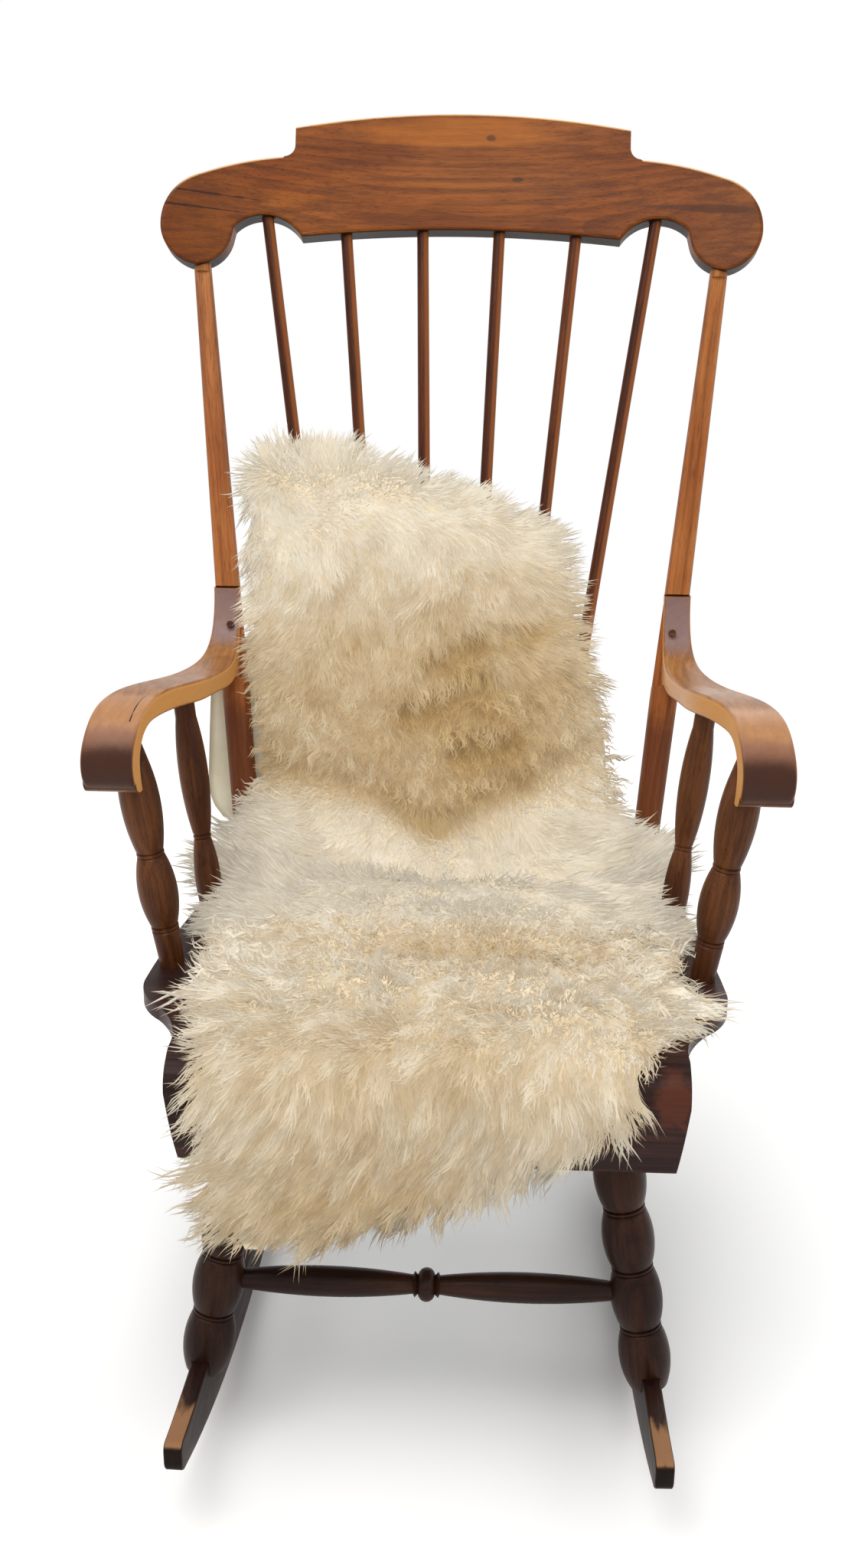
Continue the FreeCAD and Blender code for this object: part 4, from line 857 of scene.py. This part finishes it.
    # The tone is random and, as far as Tufts says, higher at the rims of the clumps: the wool material paints these
    # darker as shade between the tufts
    toned = step(tree, "GeometryNodeStoreNamedAttribute", {"Geometry": placed, "Name": "tone"},
                 data_type="FLOAT", domain="INSTANCE")
    tree.links.new(blend_value(tree, given["Tufts"], random_of("FLOAT", 0.0, 0.5, 53), rim), toned.inputs["Value"])
    facing_out = step(tree, "GeometryNodeStoreNamedAttribute",
                      {"Geometry": toned.outputs["Geometry"], "Name": "ground"},
                      data_type="FLOAT_VECTOR", domain="INSTANCE")
    tree.links.new(normal, in_use(facing_out.inputs, "Value"))
    real = step(tree, "GeometryNodeRealizeInstances",
                {"Geometry": facing_out.outputs["Geometry"]}).outputs["Geometry"]
    dressed = step(tree, "GeometryNodeSetMaterial", {"Geometry": real, "Material": given["Wool"]}).outputs["Geometry"]
    tree.links.new(dressed, made["Geometry"])
    return tree


# Round supports on one side that the wool stands against, which the other side
# mirrors: a back post, an arm's post and its spindle, by both ends and the radius
supports = (
    ((0.196, 0.095, 0.398), (0.2645, 0.343, 0.975), 0.0145),
    ((0.243, -0.092, 0.398), (0.273, -0.100, 0.65), 0.020),
    ((0.221, 0.010, 0.398), (0.2440, 0.023, 0.615), 0.015),
)
seat_top, seat_front_half, seat_rear_half = 0.398, 0.262, 0.235
roll_front = -0.2785
spindle_foot_y, back_slope = 0.116, 0.43


def in_wood(points):
    """Which points are inside a post, a spindle, the seat, its front roll or the back."""
    inside = np.zeros(len(points), bool)
    for start, end, radius in supports:
        for side in (-1, 1):
            foot = np.array(start) * (side, 1, 1)
            way = np.array(end) * (side, 1, 1) - foot
            t = np.clip((points - foot) @ way / (way @ way), 0, 1)
            inside |= np.linalg.norm(points - foot - t[:, None] * way, axis=1) < radius
    x, y, z = points.T
    seat_half = np.where(y < -0.05, seat_front_half, seat_rear_half)
    inside |= (np.abs(x) < seat_half) & (z < seat_top + 0.0005) & (y > roll_front)
    behind = (y - spindle_foot_y) - (z - seat_top) * back_slope
    return inside | (behind > -0.004) & (z > seat_top + 0.002) & (y > 0.1)


def grow_locks(base, name, family, material, part, per_area, lean, stray, clump, length, tufts, seed):
    """Locks over one part of the wool, as a plain mesh, without those that would enter the wood."""
    start, end = part
    ground = in_scene(name, base.data.copy())
    cover = ground.data.attributes["cover"].data
    for index in range(mass_columns * mass_rows):
        cover[index].value = 1.0 if start <= mass_distance(index // mass_columns) < end else 0.0
    tree_use = ground.modifiers.new("Locks", "NODES")
    tree_use.node_group = locks_group
    values = {"Locks per square metre": per_area, "Lean": lean, "Stray": stray, "Smallest": smallest_lock,
              "Clump gap": clump[0], "Clumping": clump[1], "Lock length": length, "Tufts": tufts,
              "Largest": largest_lock, "Seed": seed, "Lock shapes": family,
              "Shape count": len(family.objects), "Wool": material}
    for item in locks_group.interface.items_tree:
        if item.name in values and item.in_out == "INPUT":
            tree_use[item.identifier] = values[item.name]
    bpy.context.view_layer.update()
    mesh = bpy.data.meshes.new_from_object(ground.evaluated_get(bpy.context.evaluated_depsgraph_get()))
    bpy.data.objects.remove(ground)
    each = len(family.objects[0].data.vertices)
    points = np.empty(len(mesh.vertices) * 3)
    mesh.vertices.foreach_get("co", points)
    blocked = in_wood(points.reshape(-1, 3)).reshape(-1, each).any(1).repeat(each)
    mesh = without(mesh, blocked)
    mesh.name = name
    soften(mesh, 0.8 - 0.3 * tufts)
    piece = in_scene(name, mesh)
    piece.visible_shadow = False
    piece.visible_diffuse = False
    return piece


def without(mesh, dropped):
    """The mesh with the marked points and their faces taken out."""
    work = bmesh.new()
    work.from_mesh(mesh)
    work.verts.ensure_lookup_table()
    bmesh.ops.delete(work, geom=[work.verts[i] for i in np.flatnonzero(dropped)], context="VERTS")
    work.to_mesh(mesh)
    work.free()
    return mesh


def soften(mesh, share):
    """Turns the shading of each strand toward the wool's surface, as fine fibres take the light together."""
    own, ground = np.empty(len(mesh.vertices) * 3), np.empty(len(mesh.vertices) * 3)
    mesh.vertices.foreach_get("normal", own)
    mesh.attributes["ground"].data.foreach_get("vector", ground)
    both_ways = own.reshape(-1, 3) * (1 - share) + ground.reshape(-1, 3) * share
    both_ways /= np.linalg.norm(both_ways, axis=1)[:, None]
    mesh.attributes.remove(mesh.attributes["ground"])
    mesh.normals_split_custom_set_from_vertices(both_ways.tolist())


# Lobe of the hide behind the post: its edge's X, its middle and half length along the
# skin, how far it stands behind the skin's plane, and the width over which it grows
lobe_edge_x, lobe_middle, lobe_half, lobe_set_back, lobe_grows = -0.246, 0.300, 0.100, 0.0165, 0.03
back_foot_row = skin_rows[7]


def hide():
    """The thin skin under the wool, whose left edge goes round behind the post."""
    foot_y, foot_z, foot_out_y, foot_out_z = back_foot_row[:4]
    front, back = [], []
    for number in range(hide_rows):
        distance = skin_length * number / (hide_rows - 1)
        row = skin_row(distance)
        y, z = row[:2]
        left, right = row[4:6]
        flap = (left - lobe_edge_x) * max(0.0, 1 - ((distance - lobe_middle) / lobe_half) ** 6) ** 0.5
        # Under the foot of the back, the lobe goes straight on in the back's plane
        straight_on = max(0.0, foot_out_z * (z - foot_z) + foot_out_y * (y - foot_y))
        edge_in = min(0.016, (right - left) * 0.2)
        left += edge_in * max(0.0, 1 - flap / lobe_grows) - flap
        right -= edge_in * float(np.interp(distance, (0.72, 0.80), (1.0, 2.4)))
        for column in range(hide_columns):
            x = left + (right - left) * column / (hide_columns - 1)
            set_back = (lobe_set_back + straight_on) * within(-x, 0.160, 0.195) * within(flap, 0, lobe_grows)
            front.append(over_row(row, x, skin_thickness - set_back))
            back.append(over_row(row, x, -set_back))
    return closed_sheet("hide", hide_columns, hide_rows, front, back, hide_leather())


def stage():
    """Plain pale floor, white backdrop, soft light and the camera of the photograph."""
    scene = bpy.context.scene
    scene.view_settings.view_transform = "Standard"
    world = bpy.data.worlds.new("Backdrop")
    scene.world = world
    world.use_nodes = True
    tree = world.node_tree
    tree.nodes.clear()
    path = step(tree, "ShaderNodeLightPath").outputs
    seen = sum_of(tree, "MAXIMUM", path["Is Camera Ray"],
                  sum_of(tree, "MAXIMUM", path["Is Glossy Ray"], path["Is Transmission Ray"]))
    soft = step(tree, "ShaderNodeBackground", {"Color": rgb(1.0, 1.0, 0.99), "Strength": 0.88})
    white = step(tree, "ShaderNodeBackground", {"Color": rgb(1, 1, 1), "Strength": 1.0})
    mixed = step(tree, "ShaderNodeMixShader", {0: seen, 1: soft.outputs[0], 2: white.outputs[0]})
    tree.links.new(mixed.outputs[0], step(tree, "ShaderNodeOutputWorld").inputs["Surface"])

    floor_material, tree, surface, place = new_material("Floor")
    set_inputs(surface, {"Base Color": rgb(0.9, 0.9, 0.9), "Roughness": 0.9})
    tree.links.new(ramp(tree, vector_of(tree, "LENGTH", place), 1.2, 2.6, 1.0, 0.0), surface.inputs["Alpha"])
    size, just_below = 3.0, -0.0008
    corners = [(-size, -size, just_below), (size, -size, just_below), (size, size, just_below),
               (-size, size, just_below)]
    floor = mesh_of("floor", corners, [(0, 1, 2, 3)], floor_material, smooth=False)

    for name, place, target, width, power, colour in (
            ("Sky light", (-0.6, -1.0, 3.0), (0, 0, 0.45), 2.0, 50, (1.0, 0.985, 0.96)),
            ("Right fill", (2.2, -1.0, 1.5), (0, 0, 0.6), 1.6, 10, (1.0, 0.97, 0.94)),
            ("Back light", (0.3, 2.2, 2.3), (0, 0, 0.7), 1.8, 18, (0.95, 0.98, 1.0))):
        lamp = bpy.data.lights.new(name, "AREA")
        lamp.shape = "SQUARE"
        lamp.size = width
        lamp.energy = power
        lamp.color = colour
        carrier = in_scene(name, lamp)
        carrier.location = place
        carrier.rotation_euler = (Vector(target) - Vector(place)).to_track_quat("-Z", "Y").to_euler()

    lens = bpy.data.cameras.new("Camera")
    lens.lens = 2397.1 / 2048 * 36
    lens.sensor_width = 36
    lens.clip_end = 50
    camera = in_scene("Camera", lens)
    yaw, pitch, roll = (math.radians(a) for a in (2.52, 20.69, 0.45))
    turn = Matrix.Rotation(yaw, 4, "Z") @ Matrix.Rotation(math.pi / 2 - pitch, 4, "X") @ Matrix.Rotation(roll, 4, "Z")
    camera.matrix_world = Matrix.Translation((0.0603, -1.6039, 1.1527)) @ turn
    scene.camera = camera


finish_wood()
locks_group = locks_tree()
mass = wool_mass()
wool_finish = wool("Wool locks")
soft_locks = lock_family("Soft lock", 0.032, 0.0017, 0.0026, 0.7, 0.005)
curled_locks = lock_family("Curled lock", 0.027, 0.0020, 0.0044, 1.5, 0.010, rings=6)
hanging_locks = lock_family("Hanging lock", 0.050, 0.0019, 0.0042, 1.1, 0.004)
# Name, kind of lock, part of the skin, lean, stray, clumps, length, how far each clump
# is a tuft with shorter locks and painted shade round its rim, and thousands of locks per square metre
wool_parts = (
    ("wool_back_top", soft_locks, (0.0, 0.13), 0.85, 0.22, (0.012, 0.5), 0.032, 0.2, 210),
    ("wool_back_middle", soft_locks, (0.13, 0.25), 0.95, 0.20, (0.012, 0.75), 0.032, 0.6, 190),
    ("wool_back_low", curled_locks, (0.25, 0.37), 0.95, 0.18, (0.011, 0.9), 0.026, 0.9, 126),
    ("wool_seat_rear", soft_locks, (0.37, 0.48), 0.90, 0.26, (0.014, 0.45), 0.032, 0.1, 215),
    ("wool_seat_middle", soft_locks, (0.48, 0.58), 1.15, 0.22, (0.014, 0.5), 0.032, 0.15, 225),
    ("wool_seat_front", curled_locks, (0.58, 0.68), 1.00, 0.16, (0.012, 1.0), 0.026, 1.0, 135),
    ("wool_front_top", hanging_locks, (0.68, 0.79), 1.05, 0.12, (0.013, 1.0), 0.046, 1.0, 175),
    ("wool_front_low", hanging_locks, (0.79, 1.2), 1.2, 0.12, (0.014, 1.0), 0.046, 0.9, 160),
)
wool_pieces = [mass]
first_seed = 3
for seed, (name, family, part, lean, stray, clump, length, tufts, thousands) in enumerate(wool_parts, first_seed):
    wool_pieces.append(grow_locks(mass, name, family, wool_finish, part, 1000.0 * thousands, lean, stray, clump,
                                  length, tufts, seed))
skin = hide()
for piece in [skin] + wool_pieces:
    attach(piece, "root")
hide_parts("sheepskin")
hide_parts("sheepskin")
stage()
